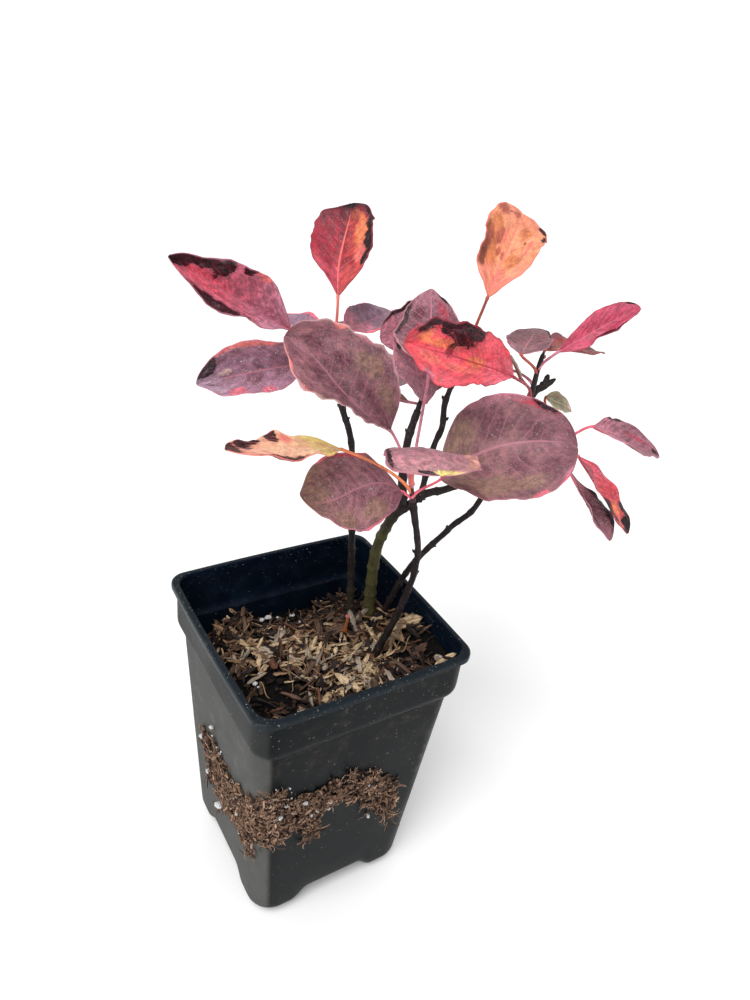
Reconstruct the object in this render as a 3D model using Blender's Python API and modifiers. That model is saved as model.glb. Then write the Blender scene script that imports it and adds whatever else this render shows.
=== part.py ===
"""A young smoke bush in a square nursery pot.

Four woody stems rise from one root through the potting mix. Three boughs carry the crown on from
the fork of the thickest stem, and six masses of foliage hang on the tips. Metres, +Z up. The
origin is the centre of the pot's flat underside, and the pot's sides lie along X and Y.
"""

import math
from collections import namedtuple

import bmesh
import bpy
from mathutils import Matrix, Vector

# Clearance kept between two solids that touch
GAP = 0.0003

# Faces that meet at less than this angle are shaded as one smooth surface.
SMOOTH_ANGLE = math.radians(40)

# Pot
RIM_HALF = 0.0445
RIM_CORNER = 0.0066
RIM_BOW = 0.0006
POT_HEIGHT = 0.127
WALL = 0.0012
LIP_HEIGHT = 0.0035
LIP_ROUND = 0.0010
COLLAR_HALF = 0.0431
COLLAR_FOOT = 0.106
COLLAR_ROUND = 0.0045
COLLAR_CORNER = 0.0080
NECK_HALF = 0.0409
FOOT_HALF = 0.0356
FOOT_ROUND = 0.0085
FOOT_CORNER = 0.0102
FOOT_CORNER_SHARE = 0.3
PLATE_HALF = 0.0170
ARCH_RISE = 0.0055
ARCH_TOP = 0.020
ARCH_FLAT = 0.0120
ARCH_END = 0.0200
DRAIN_RADIUS = 0.0030
DRAIN_OFFSET = 0.0115
DRAIN_SIDES = 16
CORNER_STEPS = 4
SIDE_STEPS = 8
FOOT_STEPS = 4
COLLAR_STEPS = 3

# Potting mix
SOIL_TOP = 0.107
SOIL_EDGE_DROP = 0.0015
SOIL_SHOULDER = 0.004

# Limbs
GROUND = SOIL_TOP + GAP
BELOW_GROUND = 0.004
LIMB_STEP = 0.005
LIMB_BEVEL = 2
FLARE_HEIGHT = 0.006
FLARE_GAIN = 0.25

# Leaves
TWIG_RADIUS = 0.0011
TWIG_TIP_RADIUS = 0.0008
PETIOLE_RADIUS = 0.0006
PETIOLE_END_RADIUS = 0.0004
PETIOLE_STEPS = 5
PETIOLE_SINKS = (0.07, 0.14)
PETIOLE_EASE = 6
BLADE_THICKNESS = 0.00045
BLADE_ROWS = 7
BLADE_COLUMNS = 4
BASE_BLUNTNESS = 0.80
TIP_BLUNTNESS = 0.60
BASE_WIDTH = 0.0010
TIP_WIDTH = 0.0020

# One straight internode of a limb: its length, and its heading and lift in degrees.
Run = namedtuple("Run", "length heading lift")

# A limb follows its runs from its start and tapers from its foot radius to its tip radius.
Limb = namedtuple("Limb", "start runs foot_radius tip_radius")

# A leaf: the share of its twig at which the petiole leaves, the place of the blade's base, the
# heading, lift and roll of the blade from base to tip, its length and width, where along it the
# blade is widest, how far the midrib arches, how far each half folds up, and the blade's twist.
Leaf = namedtuple("Leaf", "foot base heading lift roll length width widest arch fold twist")

STEMS = {
    "stem_left": Limb(
        (0.0260, 0.0163, GROUND),
        (Run(0.041, 134, 85), Run(0.037, 145, 84), Run(0.016, 145, 72), Run(0.007, 145, 78)),
        0.0017, 0.0012),
    "stem_main": Limb(
        (0.0322, 0.0115, GROUND),
        (Run(0.033, 221, 85), Run(0.019, 284, 76), Run(0.012, 291, 63)),
        0.0024, 0.0019),
    "stem_right": Limb(
        (0.0340, 0.0061, GROUND),
        (Run(0.032, 315, 73), Run(0.024, 330, 58), Run(0.017, 336, 54), Run(0.041, 356, 73)),
        0.0016, 0.0013),
    "stem_front": Limb(
        (0.0230, -0.0104, GROUND),
        (Run(0.026, 323, 75), Run(0.024, 314, 83), Run(0.024, 145, 78)),
        0.0018, 0.0014),
}

# The boughs leave the fork of the main stem, in this order, each cut clear of those before it.
BOUGHS = {
    "bough_inner": Limb(
        (0.0328, 0.0005, 0.1690),
        (Run(0.011, 108, 80), Run(0.014, 57, 74), Run(0.012, 30, 66)),
        0.0018, 0.0013),
    "bough_side": Limb(
        (0.0322, 0.0020, 0.1645),
        (Run(0.013, 330, 46), Run(0.010, 350, 10), Run(0.021, 349, 21), Run(0.019, 338, 27)),
        0.0016, 0.0011),
    "bough_middle": Limb(
        (0.0376, -0.0030, 0.1715),
        (Run(0.0215, 24, 79.5), Run(0.009, 10, 71), Run(0.009, 65, 77), Run(0.014, 358, 75)),
        0.0012, 0.0010),
}

# The pruned side shoot below the top of the right stem
STUB = Limb((0.0722, -0.0116, 0.2060), (Run(0.009, 25, 60), Run(0.007, 35, 68)), 0.0015, 0.0013)

# Each mass of foliage: the limb that it tops, the runs of its own twig, and its leaves.
FOLIAGE = {
    "foliage_left": ("stem_left", (Run(0.010, 145, 78), Run(0.008, 140, 80)), (
        Leaf(0.85, (-0.0033, 0.0317, 0.2296), 166, 30, -61, 0.047, 0.027, 0.46, -20, 50, -25),
        Leaf(0.35, (0.0046, 0.0249, 0.2197), 179, -5, -57, 0.044, 0.026, 0.60, 60, 45, 8),
        Leaf(1.00, (0.0116, 0.0273, 0.2417), 56, 45, -14, 0.037, 0.025, 0.57, -6, 22, -19),
        Leaf(0.70, (0.0100, 0.0340, 0.2275), 105, -12, -5, 0.030, 0.020, 0.54, 10, 12, -14),
        Leaf(0.60, (0.0190, 0.0320, 0.2280), 22, 3, 14, 0.028, 0.017, 0.45, 0, 15, -10),
        Leaf(0.05, (0.0215, 0.0280, 0.2100), 25, -20, -10, 0.036, 0.026, 0.55, 25, 15, 0),
        Leaf(0.20, (0.0174, 0.0320, 0.2124), 92, -22, 5, 0.035, 0.025, 0.55, 25, 15, 0),
        Leaf(0.30, (0.0170, 0.0370, 0.2198), 70, -2, 5, 0.030, 0.021, 0.55, 25, 12, 0),
    )),
    "foliage_front": ("stem_front", (Run(0.004, 145, 76), Run(0.003, 145, 80)), (
        Leaf(0.85, (0.0159, -0.0087, 0.2071), 160, 40, -58, 0.049, 0.036, 0.62, 55, 45, -25),
        Leaf(0.60, (-0.0008, -0.0055, 0.2014), 182, 10, 7, 0.042, 0.024, 0.52, 12, 5, 0),
        Leaf(0.05, (0.0225, -0.0122, 0.1838), 169, 4, -33, 0.038, 0.029, 0.59, 36, 9, -4),
        Leaf(1.00, (0.0209, -0.0184, 0.2021), 246, 18, -2, 0.034, 0.030, 0.62, 60, -7, 12),
        Leaf(0.30, (0.0325, -0.0192, 0.1911), 322, 25, 42, 0.047, 0.042, 0.48, 50, 25, 20),
        Leaf(0.95, (0.0345, 0.0002, 0.2265), 61, 38, -8, 0.030, 0.026, 0.45, 0, -5, 8),
    )),
    "foliage_inner": ("bough_inner", (Run(0.002, 30, 66), Run(0.002, 30, 70)), (
        Leaf(1.00, (0.0408, 0.0062, 0.2077), 102, 55, 4, 0.029, 0.025, 0.53, 12, 10, -6),
        Leaf(0.60, (0.0480, 0.0130, 0.2080), 58, 3, 0, 0.033, 0.025, 0.55, 25, 12, 5),
        Leaf(0.40, (0.0370, 0.0120, 0.2060), 130, -5, 10, 0.026, 0.017, 0.55, 20, 15, 0),
        Leaf(0.80, (0.0440, 0.0190, 0.2172), 64, 11, 6, 0.030, 0.021, 0.55, 25, 12, 0),
    )),
    "foliage_middle": ("bough_middle", (Run(0.003, 2, 75), Run(0.003, 2, 77)), (
        Leaf(1.00, (0.0529, -0.0017, 0.2484), 36, 38, 16, 0.038, 0.024, 0.54, 45, 25, 20),
        Leaf(0.80, (0.0564, 0.0269, 0.2323), 184, -14, -64, 0.0275, 0.019, 0.48, 10, 10, 0),
        Leaf(0.20, (0.0550, 0.0065, 0.2215), 45, -8, 0, 0.029, 0.022, 0.55, 25, 12, 0),
        Leaf(0.60, (0.0600, 0.0100, 0.2245), 52, -16, 5, 0.032, 0.023, 0.55, 25, 12, 0),
    )),
    "foliage_right": ("stem_right", (Run(0.003, 356, 73), Run(0.010, 39, 76), Run(0.006, 14, 78)), (
        Leaf(0.10, (0.0556, -0.0196, 0.2267), 163, 15, -66, 0.042, 0.028, 0.60, 50, 40, 0),
        Leaf(0.60, (0.0654, -0.0105, 0.2306), 38, 2, -4, 0.030, 0.017, 0.49, 0, 5, -10),
        Leaf(0.70, (0.0801, -0.0135, 0.2312), 2, 19, 36, 0.041, 0.017, 0.50, 20, 40, -10),
        Leaf(0.90, (0.0826, -0.0055, 0.2290), 3, -8, -1, 0.029, 0.022, 0.53, 8, 12, 0),
        Leaf(0.20, (0.0720, -0.0070, 0.2190), 150, 55, 0, 0.010, 0.004, 0.50, 0, 20, 0),
        Leaf(0.35, (0.0743, 0.0049, 0.2184), 88, -34, -12, 0.031, 0.022, 0.55, 25, 12, 0),
    )),
    "foliage_side": ("bough_side", (Run(0.003, 338, 27), Run(0.003, 338, 27)), (
        Leaf(1.00, (0.0976, -0.0234, 0.2039), 339, -21, 13, 0.034, 0.020, 0.46, 0, 20, 10),
        Leaf(0.80, (0.0927, -0.0249, 0.1927), 281, -35, -19, 0.034, 0.018, 0.43, 2, 17, 12),
        Leaf(0.50, (0.0880, -0.0260, 0.1885), 290, -42, -8, 0.031, 0.015, 0.62, -5, 17, 4),
        Leaf(0.60, (0.0900, -0.0050, 0.1885), 38, -16, 0, 0.033, 0.024, 0.55, 25, 12, 0),
        Leaf(0.20, (0.0855, -0.0040, 0.1830), 96, -18, 0, 0.033, 0.023, 0.55, 25, 12, 0),
        Leaf(0.50, (0.0858, -0.0078, 0.2106), 342, -24, 33, 0.013, 0.009, 0.45, 13, 11, -10),
    )),
}

# Colours: red, green and blue, then roughness
PAINTS = {
    "pot": ((0.012, 0.016, 0.019), 0.40),
    "soil": ((0.030, 0.019, 0.013), 0.95),
    "bark": ((0.022, 0.017, 0.014), 0.80),
    "leaf": ((0.230, 0.035, 0.060), 0.50),
}


def unit(heading, lift):
    """The direction with this heading from +X towards +Y, and this lift above the level."""
    level = math.cos(math.radians(lift))
    return Vector((level * math.cos(math.radians(heading)),
                   level * math.sin(math.radians(heading)),
                   math.sin(math.radians(lift))))


def clear_scene():
    for old in list(bpy.data.objects):
        bpy.data.objects.remove(old, do_unlink=True)


def new_collection(name):
    collection = bpy.data.collections.new(name)
    bpy.context.scene.collection.children.link(collection)
    return collection


def paint(thing, name):
    """Give the thing the plain material of this name."""
    material = bpy.data.materials.get(name) or bpy.data.materials.new(name)
    material.use_nodes = True
    colour, roughness = PAINTS[name]
    shader = material.node_tree.nodes["Principled BSDF"]
    shader.inputs["Base Color"].default_value = (*colour, 1.0)
    shader.inputs["Roughness"].default_value = roughness
    shader.inputs["Metallic"].default_value = 0.0
    thing.data.materials.clear()
    thing.data.materials.append(material)


def link_mesh(name, mesh, collection):
    thing = bpy.data.objects.new(name, mesh)
    collection.objects.link(thing)
    return thing


def evaluated_mesh(thing):
    """A plain mesh of the thing with its modifiers applied and its loose caps welded on."""
    bpy.context.view_layer.update()
    graph = bpy.context.evaluated_depsgraph_get()
    mesh = bpy.data.meshes.new_from_object(thing.evaluated_get(graph))
    body = bmesh.new()
    body.from_mesh(mesh)
    bmesh.ops.remove_doubles(body, verts=body.verts, dist=0.00001)
    body.to_mesh(mesh)
    body.free()
    return mesh


def baked(thing, collection):
    """Replace the thing by an object that holds its evaluated mesh."""
    name = thing.name
    placed = thing.matrix_world.copy()
    mesh = evaluated_mesh(thing)
    bpy.data.objects.remove(thing, do_unlink=True)
    fresh = link_mesh(name, mesh, collection)
    fresh.matrix_world = placed
    return fresh


def boolean(thing, operation, operand, solver="EXACT"):
    """Join or cut the thing with an object, or with all the objects of a collection."""
    modifier = thing.modifiers.new(operation.title(), "BOOLEAN")
    modifier.operation = operation
    modifier.solver = solver
    if isinstance(operand, bpy.types.Collection):
        modifier.operand_type = "COLLECTION"
        modifier.collection = operand
    else:
        modifier.object = operand
    return modifier


# Pot and potting mix


def ring(half_side, corner, bow, height, arch):
    """A level rounded square whose sides bow out by bow, and whose feet stand on an arch."""
    points = []
    straight = half_side - corner
    for side in range(4):
        turn = Matrix.Rotation(side * math.pi / 2, 3, "Z")
        for step in range(SIDE_STEPS + 1):
            along = straight * (2 * step / SIDE_STEPS - 1)
            out = half_side + bow * (1 - (along / straight) ** 2)
            points.append(turn @ Vector((out, along, height + arch * arch_share(along))))
        for step in range(1, CORNER_STEPS):
            angle = step / CORNER_STEPS * math.pi / 2
            points.append(turn @ Vector((straight + corner * math.cos(angle),
                                         straight + corner * math.sin(angle), height)))
    return points


def arch_share(along):
    """How much of the arch's rise stands at this place along a side: all of it in the middle."""
    fall = (abs(along) - ARCH_FLAT) / (ARCH_END - ARCH_FLAT)
    fall = min(max(fall, 0.0), 1.0)
    return 0.5 + 0.5 * math.cos(math.pi * fall)


def side_at(height, inset):
    """Half side and corner radius of the tapering wall at this height, inset from its outside."""
    share = (height - FOOT_ROUND) / (COLLAR_FOOT - FOOT_ROUND)
    half_side = FOOT_HALF + (NECK_HALF - FOOT_HALF) * share
    corner = FOOT_CORNER + (COLLAR_CORNER - FOOT_CORNER) * share
    return half_side - inset, corner - inset


def foot_rings(inset):
    """Rings of the rounded foot, from its flat plate up to the straight wall above the arches."""
    rings = [ring(PLATE_HALF - inset, FOOT_CORNER - inset, 0, inset, 0)]
    half_side, corner = side_at(FOOT_ROUND, inset)
    radius = FOOT_ROUND - inset
    for step in range(FOOT_STEPS + 1):
        angle = step / FOOT_STEPS * math.pi / 2
        pull = radius * (1 - math.sin(angle))
        height = inset + radius * (1 - math.cos(angle))
        rings.append(ring(half_side - pull, corner - FOOT_CORNER_SHARE * pull, 0, height, ARCH_RISE))
    rings.append(ring(*side_at(ARCH_TOP, inset), 0, ARCH_TOP, 0))
    return rings


def collar_rings(inset):
    """Rings of the collar's rounded lower edge and its upright band."""
    rings = []
    for step in range(COLLAR_STEPS + 1):
        angle = step / COLLAR_STEPS * math.pi / 2
        reach = NECK_HALF + (COLLAR_HALF - NECK_HALF) * math.sin(angle)
        height = COLLAR_FOOT + COLLAR_ROUND * (1 - math.cos(angle))
        rings.append(ring(reach - inset, COLLAR_CORNER - inset, 0, height, 0))
    top = POT_HEIGHT - LIP_HEIGHT
    rings.append(ring(COLLAR_HALF - inset, COLLAR_CORNER - inset, RIM_BOW, top, 0))
    return rings


def lip_rings():
    """Rings over the rolled lip, from its underside round its top to the inner wall."""
    inner = COLLAR_HALF - WALL
    outer_corner = RIM_CORNER
    inner_corner = COLLAR_CORNER - WALL
    foot = POT_HEIGHT - LIP_HEIGHT + GAP
    top = POT_HEIGHT
    return [
        ring(RIM_HALF - LIP_ROUND / 2, outer_corner, RIM_BOW, foot, 0),
        ring(RIM_HALF, outer_corner, RIM_BOW, foot + LIP_ROUND, 0),
        ring(RIM_HALF, outer_corner, RIM_BOW, top - LIP_ROUND, 0),
        ring(RIM_HALF - LIP_ROUND, outer_corner - LIP_ROUND / 2, RIM_BOW, top, 0),
        ring(inner + LIP_ROUND / 2, inner_corner, RIM_BOW, top, 0),
        ring(inner, inner_corner, RIM_BOW, top - LIP_ROUND, 0),
    ]


def loft(name, rings, collection):
    """A closed solid whose skin runs from the first ring to the last, with a flat cap on each."""
    body = bmesh.new()
    loops = [[body.verts.new(point) for point in points] for points in rings]
    count = len(loops[0])
    for lower, upper in zip(loops, loops[1:]):
        for step in range(count):
            after = (step + 1) % count
            body.faces.new((lower[step], lower[after], upper[after], upper[step]))
    body.faces.new(reversed(loops[0]))
    body.faces.new(loops[-1])
    bmesh.ops.recalc_face_normals(body, faces=body.faces)
    # The shorter diagonal splits the pot's lining and the mix against it in the same way
    bmesh.ops.triangulate(body, faces=body.faces, quad_method="SHORT_EDGE")
    mesh = bpy.data.meshes.new(name)
    body.to_mesh(mesh)
    body.free()
    return link_mesh(name, mesh, collection)


def make_pot(parts, cutters):
    """A thin tapering shell with a collar, a rolled lip and a foot on four arches."""
    neck_outside = ring(*side_at(COLLAR_FOOT, 0), 0, COLLAR_FOOT - COLLAR_ROUND / 2, 0)
    outside = foot_rings(0) + [neck_outside] + collar_rings(0)
    inside = foot_rings(WALL) + collar_rings(WALL)
    pot = loft("pot", outside + lip_rings() + inside[::-1], parts)
    for turn in range(4):
        angle = math.pi / 4 + turn * math.pi / 2
        reach = DRAIN_OFFSET * math.sqrt(2)
        spot = (reach * math.cos(angle), reach * math.sin(angle), 0)
        bpy.ops.mesh.primitive_cylinder_add(
            vertices=DRAIN_SIDES, radius=DRAIN_RADIUS, depth=2 * FOOT_ROUND, location=spot)
        drill = bpy.context.object
        drill.name = "drain_%d" % turn
        hide_cutter(drill, cutters)
        boolean(pot, "DIFFERENCE", drill)
    pot.data.shade_smooth()
    pot.data.set_sharp_from_angle(angle=SMOOTH_ANGLE)
    paint(pot, "pot")


def hide_cutter(cutter, cutters):
    for home in list(cutter.users_collection):
        home.objects.unlink(cutter)
    cutters.objects.link(cutter)
    cutter.hide_render = True
    cutter.display_type = "WIRE"


def make_soil(parts):
    """The block of potting mix that fills the pot up to the foot of its collar."""
    inset = WALL + GAP
    rings = foot_rings(inset)
    rings.append(ring(*side_at(COLLAR_FOOT, inset), 0, SOIL_TOP - SOIL_EDGE_DROP, 0))
    shoulder = NECK_HALF - inset - SOIL_SHOULDER
    rings.append(ring(shoulder, COLLAR_CORNER - inset, 0, SOIL_TOP, 0))
    paint(loft("soil", rings, parts), "soil")


# Limbs


def smooth_path(start, runs, step):
    """Points about one step apart on a smooth line through the ends of the runs."""
    corners = [Vector(start)]
    for run in runs:
        corners.append(corners[-1] + run.length * unit(run.heading, run.lift))
    first = 2 * corners[0] - corners[1]
    last = 2 * corners[-1] - corners[-2]
    knots = [first] + corners + [last]
    points = [corners[0]]
    for index, run in enumerate(runs):
        before, here, there, after = knots[index:index + 4]
        pieces = max(1, round(run.length / step))
        for piece in range(1, pieces + 1):
            t = piece / pieces
            points.append(0.5 * (2 * here + (there - before) * t
                                 + (2 * before - 5 * here + 4 * there - after) * t ** 2
                                 + (3 * here - before - 3 * there + after) * t ** 3))
    return points


def tube(name, points, radii, bevel, collection):
    """A closed tube along the points with a radius at each of them."""
    curve = bpy.data.curves.new(name, "CURVE")
    curve.dimensions = "3D"
    curve.bevel_depth = 1.0
    curve.bevel_resolution = bevel
    curve.use_fill_caps = True
    spline = curve.splines.new("POLY")
    spline.points.add(len(points) - 1)
    for knot, point, radius in zip(spline.points, points, radii):
        knot.co = (*point, 1.0)
        knot.radius = radius
    thing = bpy.data.objects.new(name, curve)
    collection.objects.link(thing)
    return baked(thing, collection)


def limb_path(limb):
    return smooth_path(limb.start, limb.runs, LIMB_STEP)


def limb_tube(name, limb, collection, swell=0.0):
    """One tapering limb, swollen by the given amount where it serves to cut its neighbour."""
    points = limb_path(limb)
    last = len(points) - 1
    radii = []
    for index, point in enumerate(points):
        radius = limb.foot_radius + (limb.tip_radius - limb.foot_radius) * index / last
        if limb.start[2] == GROUND:
            radius *= 1 + FLARE_GAIN * math.exp((GROUND - point.z) / FLARE_HEIGHT)
        radii.append(radius + swell)
    if swell:
        points.append(points[-1] + swell * (points[-1] - points[-2]).normalized())
        points.insert(0, points[0] - swell * (points[1] - points[0]).normalized())
        radii = [radii[0]] + radii + [radii[-1]]
    if limb.start[2] == GROUND:
        points.insert(0, points[0] - BELOW_GROUND * unit(limb.runs[0].heading, limb.runs[0].lift))
        radii.insert(0, radii[0])
    return tube(name, points, radii, LIMB_BEVEL, collection)


def make_stems(parts, cutters):
    """The stems stand on a flat cut at the top of the potting mix."""
    bpy.ops.mesh.primitive_cube_add(size=RIM_HALF * 2, location=(0, 0, GROUND - RIM_HALF))
    ground = bpy.context.object
    ground.name = "ground_cut"
    hide_cutter(ground, cutters)
    for name, limb in STEMS.items():
        stem = limb_tube(name, limb, parts)
        boolean(stem, "DIFFERENCE", ground)
        if name == "stem_right":
            stub = limb_tube("stub", STUB, cutters)
            boolean(stem, "UNION", stub)
            stem = baked(stem, parts)
            bpy.data.objects.remove(stub, do_unlink=True)
        stem.data.shade_smooth()
        paint(stem, "bark")


def make_boughs(parts, cutters):
    """Each bough starts inside the fork and is cut clear of the limbs that it leaves."""
    earlier = {"stem_main": STEMS["stem_main"]}
    for name, limb in BOUGHS.items():
        bough = limb_tube(name, limb, parts)
        for other, other_limb in earlier.items():
            cutter = limb_tube("%s_around_%s" % (name, other), other_limb, cutters, GAP)
            hide_cutter(cutter, cutters)
            boolean(bough, "DIFFERENCE", cutter)
        earlier[name] = limb
        bough.data.shade_smooth()
        paint(bough, "bark")


# Foliage


def half_width(leaf, along):
    """Half the blade's width at this share of its length."""
    skew = math.log(0.5) / math.log(leaf.widest)
    bluntness = BASE_BLUNTNESS if along < leaf.widest else TIP_BLUNTNESS
    swell = max(math.sin(math.pi * along ** skew), 0.0) ** bluntness
    end = BASE_WIDTH + (TIP_WIDTH - BASE_WIDTH) * along
    return max(leaf.width * swell, end) / 2


def blade_point(leaf, along, across):
    """A point of the blade's middle surface, along from base to tip and across from edge to edge."""
    arch = math.radians(leaf.arch) or 0.0001
    bend = arch * (0.5 - along)
    bend_radius = leaf.length / (2 * math.sin(arch / 2))
    fold = math.radians(leaf.fold)
    reach = across * half_width(leaf, along)
    aside = reach * math.cos(fold)
    above = abs(reach) * math.sin(fold)
    twist = math.radians(leaf.twist) * (along - 0.5)
    aside, above = (aside * math.cos(twist) - above * math.sin(twist),
                    aside * math.sin(twist) + above * math.cos(twist))
    local = Vector((bend_radius * (math.sin(arch / 2) - math.sin(bend)) - math.sin(bend) * above,
                    aside,
                    bend_radius * (math.cos(bend) - math.cos(arch / 2)) + math.cos(bend) * above))
    return Vector(leaf.base) + blade_frame(leaf) @ local


def blade_frame(leaf):
    """Axes of the blade: from base to tip, to its left margin, and out of its upper face."""
    ahead = unit(leaf.heading, leaf.lift)
    level = unit(leaf.heading + 90, 0)
    left = Matrix.Rotation(math.radians(leaf.roll), 3, ahead) @ level
    upper = ahead.cross(left)
    return Matrix((ahead, left, upper)).transposed()


def make_blade(name, leaf, collection):
    """A grid bent to the blade's surface and given its thickness."""
    body = bmesh.new()
    bmesh.ops.create_grid(body, x_segments=BLADE_ROWS, y_segments=BLADE_COLUMNS, size=1.0)
    for vertex in body.verts:
        share = (vertex.co.x + 1) / 2
        along = (1 - math.cos(math.pi * share)) / 2
        vertex.co = blade_point(leaf, along, vertex.co.y)
    mesh = bpy.data.meshes.new(name)
    body.to_mesh(mesh)
    body.free()
    blade = link_mesh(name, mesh, collection)
    shell = blade.modifiers.new("Thickness", "SOLIDIFY")
    shell.thickness = BLADE_THICKNESS
    shell.offset = 0.0
    return baked(blade, collection)


def make_petiole(name, leaf, twig, collection):
    """A slim stalk from the twig to the blade, which runs on a little way as its midrib."""
    place = leaf.foot * (len(twig) - 1)
    index = min(int(place), len(twig) - 2)
    start = twig[index].lerp(twig[index + 1], place - index)
    end = Vector(leaf.base)
    span = (end - start).length
    leaving = (twig[index + 1] - twig[index]).normalized() + (end - start).normalized()
    arriving = (blade_point(leaf, PETIOLE_SINKS[0], 0) - end).normalized() + (end - start).normalized()
    reach_out = start + leaving * span / PETIOLE_EASE
    reach_in = end - arriving * span / PETIOLE_EASE
    points = []
    for step in range(PETIOLE_STEPS + 1):
        t = step / PETIOLE_STEPS
        points.append((1 - t) ** 3 * start + 3 * t * (1 - t) ** 2 * reach_out
                      + 3 * t ** 2 * (1 - t) * reach_in + t ** 3 * end)
    points += [blade_point(leaf, share, 0) for share in PETIOLE_SINKS]
    radii = [PETIOLE_RADIUS] * (PETIOLE_STEPS + 1)
    radii += [PETIOLE_END_RADIUS] * len(PETIOLE_SINKS)
    return tube(name, points, radii, 0, collection)


def make_foliage(name, limb, runs, leaves, parts):
    """A short twig on the limb's tip with its leaves fused on."""
    tip = limb_path(limb)
    start = tip[-1] + GAP * (tip[-1] - tip[-2]).normalized()
    path = smooth_path(start, runs, LIMB_STEP / 2)
    last = len(path) - 1
    radii = [TWIG_RADIUS + (TWIG_TIP_RADIUS - TWIG_RADIUS) * index / last for index in range(last + 1)]
    mass = tube(name, path, radii, 1, parts)
    pieces = new_collection(name + "_pieces")
    for index, leaf in enumerate(leaves):
        make_petiole("%s_petiole_%d" % (name, index), leaf, path, pieces)
        make_blade("%s_blade_%d" % (name, index), leaf, pieces)
    boolean(mass, "UNION", pieces)
    mass = baked(mass, parts)
    for piece in list(pieces.objects):
        bpy.data.objects.remove(piece, do_unlink=True)
    bpy.data.collections.remove(pieces)
    mass.data.shade_smooth()
    mass.data.set_sharp_from_angle(angle=SMOOTH_ANGLE)
    paint(mass, "leaf")


def main():
    clear_scene()
    parts = new_collection("potted_smoke_bush")
    cutters = new_collection("cutters")
    make_pot(parts, cutters)
    make_soil(parts)
    make_stems(parts, cutters)
    make_boughs(parts, cutters)
    limbs = {**STEMS, **BOUGHS}
    for name, (carrier, runs, leaves) in FOLIAGE.items():
        make_foliage(name, limbs[carrier], runs, leaves, parts)


main()
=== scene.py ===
"""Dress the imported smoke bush: the pot, the mulch, the bark, the leaves and the stage."""

import math
import random
from collections import namedtuple

import bmesh
import bpy
from mathutils import Matrix, Vector, noise


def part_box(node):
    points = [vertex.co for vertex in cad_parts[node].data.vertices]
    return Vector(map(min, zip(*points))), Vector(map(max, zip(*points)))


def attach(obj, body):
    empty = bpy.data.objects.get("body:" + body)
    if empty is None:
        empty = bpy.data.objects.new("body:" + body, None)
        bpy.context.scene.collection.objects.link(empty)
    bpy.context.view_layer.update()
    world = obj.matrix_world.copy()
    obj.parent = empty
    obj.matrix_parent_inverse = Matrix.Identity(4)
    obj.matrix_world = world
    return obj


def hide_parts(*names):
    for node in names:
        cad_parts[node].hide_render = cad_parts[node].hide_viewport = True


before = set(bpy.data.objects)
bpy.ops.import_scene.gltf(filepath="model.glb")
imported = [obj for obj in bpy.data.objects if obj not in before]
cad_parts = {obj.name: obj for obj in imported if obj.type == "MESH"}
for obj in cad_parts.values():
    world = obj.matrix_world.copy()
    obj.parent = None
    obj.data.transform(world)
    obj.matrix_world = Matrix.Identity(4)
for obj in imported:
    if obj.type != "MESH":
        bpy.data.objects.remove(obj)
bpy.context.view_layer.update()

# Pot
RIM_HALF = 0.0445
RIM_CORNER = 0.0066
RIM_BOW = 0.0006
POT_HEIGHT = 0.127
WALL = 0.0012
LIP_HEIGHT = 0.0035
LIP_ROUND = 0.0010
COLLAR_HALF = 0.0431
COLLAR_FOOT = 0.106
COLLAR_ROUND = 0.0045
COLLAR_CORNER = 0.0080
NECK_HALF = 0.0409
FOOT_HALF = 0.0356
FOOT_ROUND = 0.0085
FOOT_CORNER = 0.0102
FOOT_CORNER_SHARE = 0.3
PLATE_HALF = 0.0170
ARCH_RISE = 0.0055
ARCH_TOP = 0.020
ARCH_FLAT = 0.0120
ARCH_END = 0.0200
DRAIN_RADIUS = 0.0030
DRAIN_OFFSET = 0.0115
SIDE_STEPS = 40
CORNER_STEPS = 10
FOOT_STEPS = 8
WALL_STEPS = 26
COLLAR_STEPS = 8
EDGE_STEPS = 4
SOIL_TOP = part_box("soil")[1][2]

# Limbs, in the same numbers as the solids
GAP = 0.0003
GROUND = SOIL_TOP + GAP
LIMB_STEP = 0.0008
LIMB_SIDES = 20
FLARE_HEIGHT = 0.006
FLARE_GAIN = 0.25
TWIG_RADIUS = 0.0011
TWIG_TIP_RADIUS = 0.0008

# Leaves
PETIOLE_RADIUS = 0.00055
BASE_BLUNTNESS = 0.80
TIP_BLUNTNESS = 0.60
BASE_WIDTH = 0.0010
TIP_WIDTH = 0.0020
BLADE_THICKNESS = 0.00035
BLADE_ROWS = 60
BLADE_COLUMNS = 32
VEIN_PITCH = 10.0
VEIN_BEND = 0.26

Run = namedtuple("Run", "length heading lift")
Limb = namedtuple("Limb", "start runs foot_radius tip_radius")
Leaf = namedtuple("Leaf", "foot base heading lift roll length width widest arch fold twist kind")

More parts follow.
